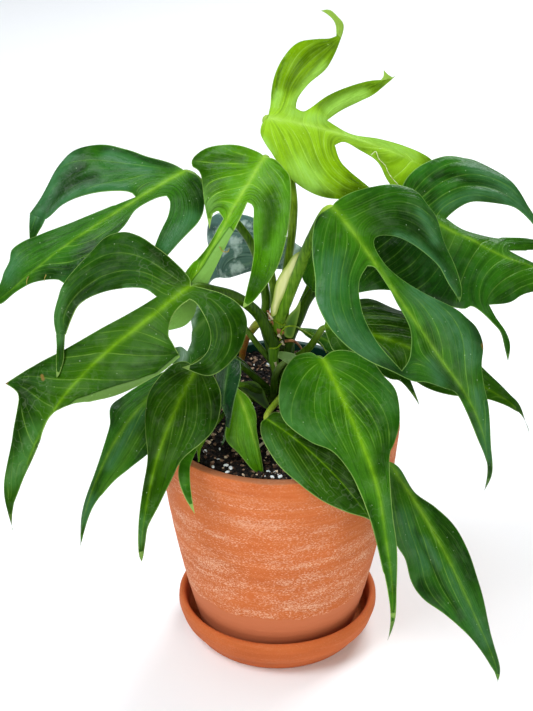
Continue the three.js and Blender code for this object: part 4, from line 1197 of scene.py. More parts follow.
    gloss = look["gloss"]
    rough = add(tree, "ShaderNodeMapRange", {}, {
        "Value": mottle, "From Min": 0.3, "From Max": 0.7, "To Min": gloss - 0.04, "To Max": gloss + 0.1})
    addFinish(tree, colour, height, 0.5, 0.0006, {
        "Roughness": rough, "IOR": 1.4, "Specular IOR Level": look["shine"]})
    return material


def leafUnder(name, look):
    material, tree, place = newMaterial(name)
    flow, rib = (add(tree, "ShaderNodeAttribute", {"attribute_name": which}, {}).outputs["Fac"]
                 for which in ("flow", "rib"))
    cloud = add(tree, "ShaderNodeTexNoise", {}, {"Vector": place, "Scale": 60, "Detail": 4})      # 17 mm
    fine = add(tree, "ShaderNodeMath", {"operation": "MULTIPLY"}, {0: flow, 1: 3})
    fine = add(tree, "ShaderNodeMath", {"operation": "PINGPONG"}, {0: fine, 1: 0.5})
    colour = layCoats(tree, linear(look["under"]), look, (
        (cloud, 0, 1, 0, 1, "halo"), (fine, 0.2, 0.02, 0, 0.35, "edge"), (rib, 0.6, 1.8, 0.8, 0, "edge")))
    height = add(tree, "ShaderNodeMath", {"operation": "MULTIPLY_ADD"}, {0: fine, 1: -0.6, 2: cloud})
    addFinish(tree, colour, height, 0.35, 0.0006, {"Roughness": 0.55, "IOR": 1.45})
    return material


# Leaf stalk skin: smooth and fleshy with fine lengthwise stripes, paler where it meets the blade
stalkLooks = {
    "deep": {"body": "#2a5008", "stripe": "#173404", "pale": "#4a7420"},
    "bright": {"body": "#8aa81c", "stripe": "#64880e", "pale": "#b3c24a"},
    "right": {"body": "#68961a", "stripe": "#44700a", "pale": "#a0bc44"},
    "dark": {"body": "#3a5c08", "stripe": "#1c3802", "pale": "#5a841a"},
    "base": {"body": "#5f8f1e", "stripe": "#3c6a0c", "pale": "#8fae44"},
    "stem": {"body": "#30420a", "stripe": "#1f2806", "pale": "#4f5c1c"},
    "root": {"body": "#ba752c", "stripe": "#8c561e", "pale": "#a4b83c"},
    "leafy": {"body": "#5f8a14", "stripe": "#3f640a", "pale": "#92b444"},
    "sage": {"body": "#3c5c10", "stripe": "#244006", "pale": "#7a9448"},
    "whitishSheen": {"body": "#4f7319", "stripe": "#304f0f", "pale": "#86a83c"},
    "mature": {"body": "#476c0c", "stripe": "#284804", "pale": "#7ca030"},
    "olive": {"body": "#4a6c0e", "stripe": "#2b4a04", "pale": "#7c9e34"},
    "glossy": {"body": "#567a08", "stripe": "#345402", "pale": "#8fb03c"},
    "fresh": {"body": "#6c8e0c", "stripe": "#3e5c02", "pale": "#a0c04c"},
    "silver": {"body": "#446428", "stripe": "#2c4a16", "pale": "#7f9c5a"},
}


def stalkSkin(name, look):
    material, tree, place = newMaterial(name)
    toBlade = add(tree, "ShaderNodeAttribute", {"attribute_name": "toBlade"}, {}).outputs["Fac"]
    grain = add(tree, "ShaderNodeMapping", {}, {"Vector": place, "Scale": (900, 900, 60)})        # 1 mm wide
    stripes = add(tree, "ShaderNodeTexNoise", {}, {"Vector": grain, "Scale": 1, "Detail": 2})
    cloud = add(tree, "ShaderNodeTexNoise", {}, {"Vector": place, "Scale": 90, "Detail": 3})      # 11 mm
    colour = layCoats(tree, linear(look["stripe"]), look, (
        (stripes, 0.3, 0.65, 0, 1, "body"), (cloud, 0.5, 0.75, 0, 0.4, "pale"),
        (toBlade, 8, 26, 0.85, 0, "pale")))
    addFinish(tree, colour, stripes, 0.3, 0.0004, {
        "Roughness": 0.36, "IOR": 1.42, "Specular IOR Level": 0.16})
    return material


skins = {
    kind: (
        leafTop(kind + " leaf, waxy cuticle", {**usualSkin, **look}),
        leafUnder(kind + " leaf, matt underside", look),
        stalkSkin(kind + " leaf stalk", stalkLooks[kind]),
    )
    for kind, look in skinLooks.items()
}
stalkSkins = {
    kind: stalkSkin(kind + " stalk", look) for kind, look in stalkLooks.items() if kind not in skinLooks}
for node, leaf in leaves.items():
    makeLeaf(node, {**usualLeaf, **leaf}, bladeForm, skins)
print("leaves made:", len(leaves))


# Narrow strips round the stalks' feet, given the way a leaf is and rolled round their length
strip = {"heading": 0, "roll": 90, "sag": 0, "swing": 0, "fold": 0, "bow": 5}
sheathForm = dict(bladeForm, step=1.2, cornerAngle=180, wave=0, thickness=0.6)
# The pale sheath that clasps the foot of the right leaf's stalk
sheath = {
    "base": (-4, 1, 237), "rise": 66, "length": 47,
    "outline": [
        (-1, 0), (2, -2), (10, -1), (19, -1), (30, 0), (41, -1), (46, 0), (48, 2), (43, 5),
        (35, 6), (29, 7), (21, 7), (10, 4), (5, 3),
    ],
}
# The green wing on the foot of the upper right leaf's stalk
wing = {
    "base": (5, 3, 221), "rise": 71, "length": 27,
    "outline": [(0, 1), (4, 3), (10, 4), (16, 3), (21, 1), (27, 0), (21, -2), (14, -3), (6, -4), (0, -4)],
}
# The dark sheath that lies over the potting mix left of the stem
lowSheath = {
    "base": (-27, -14, 195), "rise": -41, "length": 30,
    "outline": [(0, 0), (8, -1), (15, -1), (23, -1), (30, 0), (23, 4), (16, 8), (9, 9), (3, 5)],
}


# Papery sheath: dried leaf tissue, matt with fine fibres along it
def papery(name, pale, dark, stretch, rim=None):
    material, tree, place = newMaterial(name)
    margin = add(tree, "ShaderNodeAttribute", {"attribute_name": "margin"}, {}).outputs["Fac"]
    grain = add(tree, "ShaderNodeMapping", {}, {"Vector": place, "Scale": stretch})
    fibres = add(tree, "ShaderNodeTexNoise", {}, {"Vector": grain, "Scale": 1, "Detail": 3})
    colour = layCoats(tree, linear(pale), {}, (
        (fibres, 0.35, 0.7, 0, 1, dark), (margin, 0, 2.4, 0.9, 0, rim or dark)))
    addFinish(tree, colour, fibres, 0.4, 0.0004, {"Roughness": 0.5, "IOR": 1.45})
    return material


def makeSheath(name, leaf, form, material, slot, *nodes):
    points, triangles, outline = flatMesh(leaf, form)[:3]
    half = np.full(len(points), form["thickness"] / 2)
    vertices, faces = bladeShell(leaf, form, points, triangles, half * 0, half, half * 0)[:2]
    piece = newPiece(name, vertices, faces, 50)
    setAttribute(piece.data, "margin", np.tile(distanceTo(points, outline), 2))
    piece.data.materials.append(material)
    finishPiece(piece, slot, *nodes)


# The cream sheath is yellow-green at its margins and palest in its middle, the pale middle partly a painted
# highlight
cream = papery("leaf sheath, pale skin with painted highlight", "#eeeeac", "#dce07e", (220, 220, 12), "#93ac26")
makeSheath("stalk_sheath", {**strip, **sheath}, sheathForm, cream, "sheath_skin", "leaf_sheath")
young = papery("stalk wing, fleshy green skin", "#4f7c16", "#386408", (220, 220, 30), "#86a83c")
makeSheath("stalk_wing", {**strip, **wing}, sheathForm, young, "sheath_skin")
shaded = papery("low sheath, fleshy dark skin", "#24480a", "#163404", (220, 220, 220), "#55781e")
makeSheath("low_sheath", {**strip, **lowSheath}, sheathForm, shaded, "sheath_skin")

# Stem: short and thick, ringed by the scars of older leaves
stemForm = {
    "path": [(-2, 6, 120), (-2, 6, 165), (-1, 6, 200), (0, 6, 230)],
    "radius": 4.8, "footRadius": 3.6, "crownFrom": 200, "crownLength": 12,
    "rings": [178, 196, 213, 228], "ringRise": 0.7, "ringHalf": 0.9,
    "domeFrom": 0.965, "sides": 28, "perSpan": 26,      # the dome starts at this share of its length
}


def makeStem(spec):
    path = curvePoints(spec["path"], spec["perSpan"])
    lowest = path[0][2]

    def radiusAt(share, arc):
        height = lowest + arc
        rings = sum(math.exp(-((height - z) / spec["ringHalf"]) ** 2) for z in spec["rings"])
        dome = math.sqrt(max(0.05, 1 - max(0, (share - spec["domeFrom"]) / 0.036) ** 2))
        crown = min(1, max(0, (height - spec["crownFrom"]) / spec["crownLength"]))
        radius = spec["footRadius"] + (spec["radius"] - spec["footRadius"]) * crown
        return (radius + spec["ringRise"] * rings) * dome

    vertices, faces = sweepTube(path, radiusAt, spec["sides"])[:2]
    piece = newPiece("main_stem", vertices * mm, faces, 60)
    setAttribute(piece.data, "toBlade", [99] * len(piece.data.vertices))
    piece.data.materials.append(stalkSkins["stem"])
    finishPiece(piece, "stem_skin", "stem")


makeStem(stemForm)

# Small growths round the stem, each a few tubes along paths. A tube is its radius, the share of it
# at its start and at its end, and its path
brown = papery("dry sheath scraps, thin brown skin", "#b87c4c", "#5f3518", (400, 400, 400))
growths = {
    "left_stalk_base": {
        "matter": stalkSkins["base"],
        "tubes": [
            ((3.4, 1.15, 0.6), [(-3, -1, 217), (-3, -1, 212), (-3, -1, 206), (-2, -1, 200), (-1, 0, 191)]),
        ],
    },
    "aerial_root": {
        "matter": stalkSkins["root"],
        "tubes": [
            ((2.6, 0.8, 1.1), [(-25, 51, 176), (-22, 36, 199), (-17, 16, 219), (-12, 8, 228), (-5, 6, 228)]),
        ],
    },
    "stalk_rings": {
        "matter": stalkSkins["bright"],
        "tubes": [
            ((0.5, 1, 1), [(-7, 1, 215), (-5, -4, 216), (-1, -5, 217), (2, -1, 218)]),
            ((0.5, 1, 1), [(-5, 4, 236), (-3, 1, 234), (0, 0, 232), (3, 1, 230), (5, 4, 230)]),
        ],
    },
    "pale_tendril": {
        "matter": stalkSkins["bright"],
        "tubes": [
            ((0.7, 0.8, 0.5), [(1, 0, 220), (2, -2, 227), (5, -3, 231), (9, -2, 231), (17, 10, 221),
                               (27, 18, 209), (32, 26, 197)]),
            ((0.45, 1, 0.6), [(14, 6, 260), (9, 5, 248), (7, 6, 240), (6, 8, 232)]),
        ],
    },
    "dry_scraps": {
        "matter": brown,
        "tubes": [
            ((0.9, 1.2, 0.5), [(4, 2, 218), (8, 3, 218), (11, 5, 216), (15, 9, 209), (17, 15, 200)]),
            ((1.1, 0.7, 1), [(-7, 2, 240), (-6, 2, 238), (-5, 2, 234)]),
            ((2.4, 0.6, 1), [(-4, 4, 232), (-1, 3, 228), (2, 2, 223)]),
            ((0.9, 0.5, 0.6), [(-6, 51, 179), (-11, 44, 178), (-16, 35, 176)]),
            ((0.8, 0.5, 0.6), [(-21, 58, 181), (-26, 50, 179)]),
        ],
    },
    "white_scraps": {
        "matter": papery("torn sheath ends, pale dry skin", "#e9e2c4", "#b99a68", (500, 500, 500)),
        "tubes": [
            ((1, 1, 0.4), [(2, 0, 219), (3, 0, 217), (4, 1, 216)]),
            ((0.8, 0.4, 1), [(-7, -1, 240), (-5, -1, 237), (-4, 0, 235)]),
            ((1.1, 1, 0.3), [(0, -3, 225), (2, -2, 222)]),
            ((1.1, 0.7, 1), [(-13, -38, 162), (-11, -35, 163), (-8, -32, 163)]),
            ((0.9, 1, 0.5), [(-2, -4, 206), (-1, -4, 202), (0, -4, 199)]),
        ],
    },
    "torn_edges": {
        "matter": papery("torn leaf edge, pale dry skin", "#dfe8b0", "#a9b45c", (500, 500, 500)),
        "tubes": [((0.3, 1, 0.8), [(58, 34, 333), (61, 37, 334), (63, 35, 330), (67, 34, 326), (69, 32, 322),
                                   (72, 31, 318), (75, 30, 315)])],
    },
    "leaf_tendrils": {
        "matter": papery("leaf tendrils, dried golden tips", "#a08c2c", "#6c6418", (500, 500, 500)),
        "tubes": [
            ((0.35, 1, 0.6), [(-36, -28, 298), (-34, -30, 296), (-31, -31, 296), (-30, -31, 298)]),
            ((0.35, 1, 0.5), [(-157, 0, 265), (-158, -2, 263), (-158, -4, 261)]),
            ((0.35, 1, 0.5), [(-145, -6, 269), (-146, -8, 267), (-146, -9, 266)]),
        ],
    },
    "soil_tendril": {
        "matter": stalkSkins["base"],
        "tubes": [((0.8, 1, 0.5), [(-30, -25, 163), (-28, -19, 164), (-23, -17, 165)])],
    },
}
growthForm = {"perSpan": 8, "sides": 10}


def makeGrowth(name, growth, form):
    vertices, faces = [], []
    for (radius, first, last), path in growth["tubes"]:
        tube, tubeFaces = sweepTube(
            curvePoints(path, form["perSpan"]),
            lambda share, arc: radius * (first + (last - first) * share), form["sides"])[:2]
        start = sum(len(v) for v in vertices)
        faces += [tuple(start + i for i in face) for face in tubeFaces]
        vertices.append(tube)
    piece = newPiece(name, np.vstack(vertices) * mm, faces, 60)
    fromEnd = [np.linalg.norm(v.co / mm - Vector(growth["tubes"][0][1][-1])) for v in piece.data.vertices]
    setAttribute(piece.data, "toBlade", fromEnd if name == "aerial_root" else [99] * len(fromEnd))
    setAttribute(piece.data, "margin", [9] * len(fromEnd))
    piece.data.materials.append(growth["matter"])
    finishPiece(piece, "stem_skin")


for name, growth in growths.items():
    makeGrowth(name, growth, growthForm)
print("stem, sheath and growths made")


# Terracotta: porous clay turned on a wheel and fired, which leaves fine level scratches; matt, with
# pale lime bloom left by the water that dries through it
clay = {
    "body": "#cd6a30", "deep": "#b85a22", "warm": "#d67f49", "bloom": "#edc2a2", "dust": "#d98e63",
    "foot": "#c4714a", "dirt": "#7c6048",
    "bloomAmount": 0.8, "bloomFrom": 0.050, "bloomTo": 0.16,        # metres above the floor
    "dirtFrom": 0.1618,
    "grooves": [(0.1412, 0.5), (0.1372, 0.25), (0.1335, 0.3)],      # height, and how full of lime
}
saucerClay = dict(
    clay, body="#c5632c", deep="#ae5422", warm="#cf7440", foot="#c1612c",
    bloomAmount=0.12, bloomFrom=0.01, bloomTo=0.05, grooves=[])


def terracotta(name, look):
    material, tree, place = newMaterial(name)
    height = add(tree, "ShaderNodeSeparateXYZ", {}, {0: place}).outputs["Z"]
    cloud, bands, grit, scratch, patches, edge = (
        add(tree, "ShaderNodeTexNoise", {}, {
            "Vector": add(tree, "ShaderNodeMapping", {}, {"Vector": place, "Scale": stretch}),
            "Scale": scale, "Detail": detail, "Roughness": 0.6})
        for scale, detail, stretch in (
            (16, 4, (1, 1, 2)),             # 60 mm
            (1, 4, (10, 10, 420)),          # turning marks, 2.4 mm apart
            (1100, 3, (1, 1, 1)),           # under 1 mm
            (700, 6, (1, 1, 2)),            # 1.4 mm wide
            (30, 7, (1, 1, 4)),             # 30 mm wide
            (40, 3, (1, 1, 0)),             # 25 mm wide, the same at every height
        ))

    # The bloom starts at a wavy tide line above the foot and thins out towards the rim
    tide = add(tree, "ShaderNodeMath", {"operation": "MULTIPLY_ADD"}, {0: edge, 1: 0.012, 2: height})
    low = add(tree, "ShaderNodeMapRange", {"interpolation_type": "SMOOTHSTEP"}, {
        "Value": tide, "From Min": look["bloomFrom"], "From Max": look["bloomFrom"] + 0.002, "To Min": 0.06})
    high = add(tree, "ShaderNodeMapRange", {"interpolation_type": "SMOOTHSTEP"}, {
        "Value": height, "From Min": look["bloomTo"] - 0.07, "From Max": look["bloomTo"],
        "To Min": 1, "To Max": 0.3})
    fleck = add(tree, "ShaderNodeMath", {"operation": "MULTIPLY_ADD"}, {0: patches, 1: 0.6, 2: scratch})
    bloom = add(tree, "ShaderNodeMapRange", {}, {"Value": fleck, "From Min": 0.8})
    for much in (low, high, look["bloomAmount"]):
        bloom = add(tree, "ShaderNodeMath", {"operation": "MULTIPLY"}, {0: bloom, 1: much})

    # Under the tide line is a smooth pinkish foot, above it fine grooves with lime in them, and dirt
    # lies on the rim
    coats = [
        (cloud, 0.3, 0.7, 0, 1, "body"), (bands, 0.45, 0.7, 0, 0.45, "warm"),
        (grit, 0.55, 0.8, 0, 0.35, "dust"), (bloom, 0, 1, 0, 1, "bloom"), (low, 1, 0.06, 0, 0.8, "foot"),
    ]
    filled = add(tree, "ShaderNodeMapRange", {}, {"Value": fleck, "From Min": 0.78, "From Max": 0.9})
    for at, most in look["grooves"]:
        away = add(tree, "ShaderNodeMath", {"operation": "SUBTRACT"}, {0: height, 1: at})
        away = add(tree, "ShaderNodeMath", {"operation": "ABSOLUTE"}, {0: away})
        coats.append((away, 0.0007, 0, 0, most, "bloom", filled))
    dirt = add(tree, "ShaderNodeMath", {"operation": "MULTIPLY_ADD"}, {0: patches, 1: 0.003, 2: height})
    coats.append((dirt, look["dirtFrom"], look["dirtFrom"] + 0.001, 0, 0.5, "dirt"))
    colour = layCoats(tree, linear(look["deep"]), look, coats)

    relief = add(tree, "ShaderNodeMath", {"operation": "MULTIPLY_ADD"}, {0: grit, 1: 0.4, 2: bloom})
    relief = add(tree, "ShaderNodeMath", {"operation": "MULTIPLY_ADD"}, {0: bands, 1: 0.8, 2: relief})
    addFinish(tree, colour, relief, 0.4, 0.0005, {"Roughness": 0.82, "Specular IOR Level": 0.3})
    return material


# Turned shape from a profile of (radius, height) in mm; spacing is the longest edge along it
def turnShape(name, profile, sides, spacing, lift, wobble):
    fine = []
    for (r0, z0), (r1, z1) in zip(profile, profile[1:]):
        parts = max(1, math.ceil(math.hypot(r1 - r0, z1 - z0) / spacing))
        fine += [(r0 + (r1 - r0) * k / parts, z0 + (z1 - z0) * k / parts) for k in range(parts)]
    fine.append(profile[-1])
    closed = profile[0] == profile[-1]
    if closed:
        fine.pop()
    vertices, index = [], []
    for r, z in fine:
        if r < 1e-6:
            index.append([len(vertices)] * sides)
            vertices.append((0, 0, (z + lift) * mm))
            continue
        ring = []
        for k in range(sides):
            angle = 2 * math.pi * k / sides
            x, y = math.cos(angle), math.sin(angle)
            off = wobble * (noise.noise((x * 1.5, y * 1.5, z * 0.35)) + noise.noise((0.3, 0.2, z * 0.9)))
            ring.append(len(vertices))
            vertices.append(((r + off) * x * mm, (r + off) * y * mm, (z + lift) * mm))
        index.append(ring)
    faces = []
    pairs = list(zip(index, index[1:])) + ([(index[-1], index[0])] if closed else [])
    for lower, upper in pairs:
        for k in range(sides):
            j = (k + 1) % sides
            corners = [lower[k], lower[j], upper[j], upper[k]]
            face = [v for n, v in enumerate(corners) if v != corners[n - 1]]
            if len(face) > 2:
                faces.append(face)
    return newPiece(name, vertices, faces, 60)


# Round the corners of a profile with short arcs
def roundProfile(points, radius):
    rounded = [points[0]]
    for before, here, after in zip(points, points[1:], points[2:]):
        a, b, c = Vector(before), Vector(here), Vector(after)
        reach = min(radius, (b - a).length / 2, (c - b).length / 2)
        start, end = b + (a - b).normalized() * reach, b + (c - b).normalized() * reach
        for x in (0, 0.25, 0.5, 0.75, 1):
            rounded.append(tuple(start.lerp(b, x).lerp(b.lerp(end, x), x)))
    return rounded + [points[-1]]


turning = {"sides": 144, "spacing": 2.5, "round": 1.5}      # how the clay pieces are turned
pot = {
    "height": 157, "rim": 80, "foot": 53, "belly": 4, "wall": 6, "floor": 9, "drain": 7,
    "chamfer": 2, "rimChamfer": 1.5, "wobble": 0.12,
    "lift": 5.3,                                      # it stands on the saucer's floor
    "wallRings": [4 + 6 * i for i in range(24)],      # heights
}
saucerForm = {
    "lip": 68, "foot": 58, "chamfer": 2, "floor": 5, "wobble": 0.1,
    "wall": [                          # (past the lip's radius, height), up outside and down inside
        (-4.6, 10), (-2.4, 12), (0.4, 21), (0, 26), (-2.4, 28), (-4.8, 26), (-6.5, 12), (-10, 6), (-13, 5),
    ],
}


def makePot(spec):
    def radiusAt(height):
        share = height / spec["height"]
        return spec["foot"] + (spec["rim"] - spec["foot"]) * share + 4 * spec["belly"] * share * (1 - share)

    rim, wall, edge, top = spec["rim"], spec["wall"], spec["rimChamfer"], spec["height"]
    foot, drain, floor = spec["foot"] - spec["chamfer"], spec["drain"], spec["floor"]
    outer = [(radiusAt(z), z) for z in spec["wallRings"]]
    inner = [(radiusAt(z) - wall, z) for z in spec["wallRings"][2:]][::-1]
    profile = roundProfile([
        (drain, 0), (foot, 0), *outer,
        (rim, top - edge), (rim - edge, top), (rim - wall + edge, top), (rim - wall, top - edge),
        *inner, (foot - wall, floor), (drain, floor), (drain, 0),
    ], turning["round"])
    piece = turnShape(
        "flower_pot", profile, turning["sides"], turning["spacing"], spec["lift"], spec["wobble"])
    piece.data.materials.append(terracotta("terracotta pot, fired clay with lime bloom", clay))
    finishPiece(piece, "terracotta_pot", "terracotta_pot")


def makeSaucer(spec):
    lip, foot, edge = spec["lip"], spec["foot"], spec["chamfer"]
    wall = [(lip + past, height) for past, height in spec["wall"]]
    profile = roundProfile(
        [(0, 0), (foot - edge, 0), (foot, edge), *wall, (0, spec["floor"])], turning["round"])
    piece = turnShape("saucer_dish", profile, turning["sides"], turning["spacing"], 0, spec["wobble"])
    piece.data.materials.append(terracotta("terracotta saucer, smooth fired clay", saucerClay))
    finishPiece(piece, "terracotta_saucer", "saucer")


makePot(pot)
makeSaucer(saucerForm)
print("terracotta pot and saucer made")

# Grow pot: thin moulded plastic, dark teal, leaning a little towards the viewer inside the clay pot
growPot = {
    "height": 112, "rim": 69, "foot": 42.6, "wall": 1.6, "rimHeight": 6, "rimWidth": 2.5,
    "tilt": 12, "rimCentre": (0, -3, 173), "dark": "#03261e", "light": "#0a4a3c",
    "sides": 120, "spacing": 4, "round": 0.8, "wobble": 0.05,
}


def growPotPlace(spec):
    turn = Matrix.Rotation(math.radians(spec["tilt"]), 4, "X")
    top = turn @ Vector((0, 0, spec["height"]))
    return Matrix.Translation((Vector(spec["rimCentre"]) - top) * mm) @ turn


def makeGrowPot(spec):
    rim, foot, wall, top = spec["rim"], spec["foot"], spec["wall"], spec["height"]
    brim = top - spec["rimHeight"]

    def inside(height):
        return foot - wall + (rim - spec["rimWidth"] - foot) * height / top

    profile = roundProfile([
        (0, 0), (foot, 0), (inside(brim) + wall, brim), (rim, brim + 0.4), (rim, top - 0.6),
        (rim - 1.2, top), (inside(top), top), (inside(wall), wall), (0, wall),
    ], spec["round"])
    piece = turnShape("nursery_pot", profile, spec["sides"], spec["spacing"], 0, spec["wobble"])
    piece.data.transform(growPotPlace(spec))
    # Dark, faintly glossy, with a fine ripple from the mould
    material, tree, place = newMaterial("nursery pot, moulded polypropylene")
    ripple = add(tree, "ShaderNodeTexNoise", {}, {"Vector": place, "Scale": 160, "Detail": 3})    # 6 mm
    colour = layCoats(tree, linear(spec["dark"]), spec, ((ripple, 0, 1, 0, 1, "light"),))
    addFinish(tree, colour, ripple, 0.2, 0.0003, {
        "Roughness": 0.42, "IOR": 1.49, "Specular IOR Level": 0.25})
    piece.data.materials.append(material)
    finishPiece(piece, "grow_pot_plastic", "grow_pot")


makeGrowPot(growPot)

# Potting mix: bark, peat and perlite, heaped over the grow pot's front rim up to the clay pot's wall
mix = {
    "centre": (0, -3), "radius": 63, "frontRadius": 70.3, "level": 167.4, "frontLevel": 160.4,
    "dome": 1.5, "heapFrom": 0.7, "heapReach": 0.22,    # shares of the radius
    "lumps": 1.4, "crumbs": 0.7,                        # heights of the 9 mm and the 2 mm ones
    "rings": 34, "sides": 150, "depth": 12, "narrowing": 0.93,
}


def mixHeight(spec, x, y, share, front):
    rise = math.tan(math.radians(growPot["tilt"])) * (y - spec["centre"][1])
    z = spec["level"] + rise + spec["dome"] * (1 - share ** 2)
    heap = front * min(1, max(0, (share - spec["heapFrom"]) / spec["heapReach"])) ** 1.5
    z += max(0, max(spec["frontLevel"], growPot["rimCentre"][2] + rise + 0.8) - z) * heap
    rough = noise.noise((x * 0.11, y * 0.11, 3.1)) * spec["lumps"]
    return z + rough * (1 - share ** 8) + spec["crumbs"] * noise.noise((x * 0.45, y * 0.45, 7.7))


def makeMix(spec):
    cx, cy = spec["centre"]
    vertices, faces = [], []
    count = spec["sides"]
    for ring in range(spec["rings"] + 1):
        share = ring / spec["rings"]
        for k in range(count if ring else 1):
            angle = 2 * math.pi * k / count
            front = min(1, max(0, (0.35 - math.sin(angle)) / 0.6))    # 1 at the front, 0 at the back
            reach = spec["radius"] + (spec["frontRadius"] - spec["radius"]) * front
            x, y = cx + reach * share * math.cos(angle), cy + reach * share * math.sin(angle)
            vertices.append((x * mm, y * mm, mixHeight(spec, x, y, share, front) * mm))
    rim = 1 + count * (spec["rings"] - 1)
    for k in range(count):
        x, y, z = vertices[rim + k]
        vertices.append((x * spec["narrowing"], y * spec["narrowing"], z - spec["depth"] * mm))
    vertices.append((cx * mm, cy * mm, (spec["level"] - 2 * spec["depth"]) * mm))
    for k in range(count):
        j = (k + 1) % count
        faces.append((0, 1 + k, 1 + j))
        for ring in range(spec["rings"]):
            a, b = 1 + ring * count + k, 1 + ring * count + j
            faces.append((a, a + count, b + count, b))
        bottom = rim + count
        faces.append((bottom + k, len(vertices) - 1, bottom + j))
    return newPiece("mix_bed", vertices, faces)


# Potting mix matter: each grain takes its colour from its own "tint"
def grainMaterial(name, stops, roughness, scale):
    material, tree, place = newMaterial(name)
    tint = add(tree, "ShaderNodeAttribute", {"attribute_name": "tint"}, {}).outputs["Fac"]
    grain = add(tree, "ShaderNodeTexNoise", {}, {"Vector": place, "Scale": scale, "Detail": 4})
    mixed = add(tree, "ShaderNodeMath", {"operation": "MULTIPLY_ADD"}, {0: grain, 1: 0.5, 2: tint})
    mixed = add(tree, "ShaderNodeMath", {"operation": "SUBTRACT"}, {0: mixed, 1: 0.25})
    colour = add(tree, "ShaderNodeValToRGB", {"stops": stops}, {0: mixed})
    addFinish(tree, colour, grain, 0.6, 0.0006, {"Roughness": roughness, "Specular IOR Level": 0.3})
    return material


# Grains strewn over a surface's upward side: rough pebbles and flat chips, turned and sized at random
def grainTree(name):
    tree = bpy.data.node_groups.new(name, "GeometryNodeTree")
    face = tree.interface
    face.new_socket("Geometry", in_out="INPUT", socket_type="NodeSocketGeometry")
    for label, kind, value in (
        ("Grains per square metre", "NodeSocketFloat", 10000.0), ("Smallest", "NodeSocketFloat", 0.001),
        ("Largest", "NodeSocketFloat", 0.003), ("Thickness", "NodeSocketFloat", 0.6),
        ("Faces", "NodeSocketInt", 1), ("Seed", "NodeSocketInt", 1), ("Lift", "NodeSocketFloat", 0.0),
    ):
        face.new_socket(label, in_out="INPUT", socket_type=kind).default_value = value
    face.new_socket("Matter", in_out="INPUT", socket_type="NodeSocketMaterial")
    face.new_socket("Geometry", in_out="OUTPUT", socket_type="NodeSocketGeometry")
    given = tree.nodes.new("NodeGroupInput").outputs

    facing = add(tree, "ShaderNodeSeparateXYZ", {}, {0: add(tree, "GeometryNodeInputNormal", {}, {})})
    upward = add(tree, "FunctionNodeCompare", {"operation": "GREATER_THAN"}, {0: facing.outputs["Z"], 1: 0.3})
    spots = add(tree, "GeometryNodeDistributePointsOnFaces", {}, {
        "Mesh": given["Geometry"], "Selection": upward, "Density": given["Grains per square metre"],
        "Seed": given["Seed"]})
    ball = add(tree, "GeometryNodeMeshIcoSphere", {}, {"Radius": 0.5, "Subdivisions": given["Faces"]})
    shapes = add(tree, "GeometryNodeJoinGeometry", {}, {})
    for k, size in enumerate(((1, 0.72, 0.9), (1.25, 0.55, 0.6), (0.8, 0.95, 0.75), (1.1, 0.85, 0.5))):
        lump = add(tree, "ShaderNodeTexNoise", {"noise_dimensions": "4D"}, {
            "Vector": add(tree, "GeometryNodeInputPosition", {}, {}), "W": 3.7 * k, "Scale": 2.6})
        push = add(tree, "ShaderNodeVectorMath", {"operation": "MULTIPLY_ADD"}, {
            0: lump.outputs["Color"], 1: (0.9, 0.9, 0.9), 2: (-0.45, -0.45, -0.45)})
        rough = add(tree, "GeometryNodeSetPosition", {}, {"Geometry": ball, "Offset": push})
        flat = add(tree, "GeometryNodeTransform", {}, {"Geometry": rough, "Scale": size})
        single = add(tree, "GeometryNodeGeometryToInstance", {}, {0: flat})
        tree.links.new(single.outputs[0], shapes.inputs[0])

    spin = add(tree, "FunctionNodeRandomValue", {"data_type": "FLOAT_VECTOR"}, {
        0: (-0.6, -0.6, 0.0), 1: (0.6, 0.6, 6.283), "Seed": given["Seed"]})
    chance = add(tree, "FunctionNodeRandomValue", {"data_type": "FLOAT"}, {
        2: 0.0, 3: 1.0, "Seed": given["Seed"]})
    small = add(tree, "ShaderNodeMath", {"operation": "POWER"}, {0: chance, 1: 2.0})
    size = add(tree, "ShaderNodeMapRange", {}, {
        "Value": small, "To Min": given["Smallest"], "To Max": given["Largest"]})
    thin = add(tree, "ShaderNodeMath", {"operation": "MULTIPLY"}, {0: size, 1: given["Thickness"]})
    lift = add(tree, "ShaderNodeCombineXYZ", {}, {2: given["Lift"]})
    raised = add(tree, "GeometryNodeSetPosition", {}, {"Geometry": spots, "Offset": lift})
    strewn = add(tree, "GeometryNodeInstanceOnPoints", {}, {
        "Points": raised, "Instance": shapes, "Pick Instance": True, "Rotation": spin,
        "Scale": add(tree, "ShaderNodeCombineXYZ", {}, {0: size, 1: size, 2: thin})})
    tint = add(tree, "FunctionNodeRandomValue", {"data_type": "FLOAT"}, {2: 0.0, 3: 1.0, "Seed": 77})
    tinted = add(tree, "GeometryNodeStoreNamedAttribute", {"data_type": "FLOAT", "domain": "INSTANCE"}, {
        "Geometry": strewn, "Name": "tint", "Value": tint})
    real = add(tree, "GeometryNodeRealizeInstances", {}, {0: tinted})
    coated = add(tree, "GeometryNodeSetMaterial", {}, {"Geometry": real, "Material": given["Matter"]})
    add(tree, "NodeGroupOutput", {}, {0: coated})
    return tree


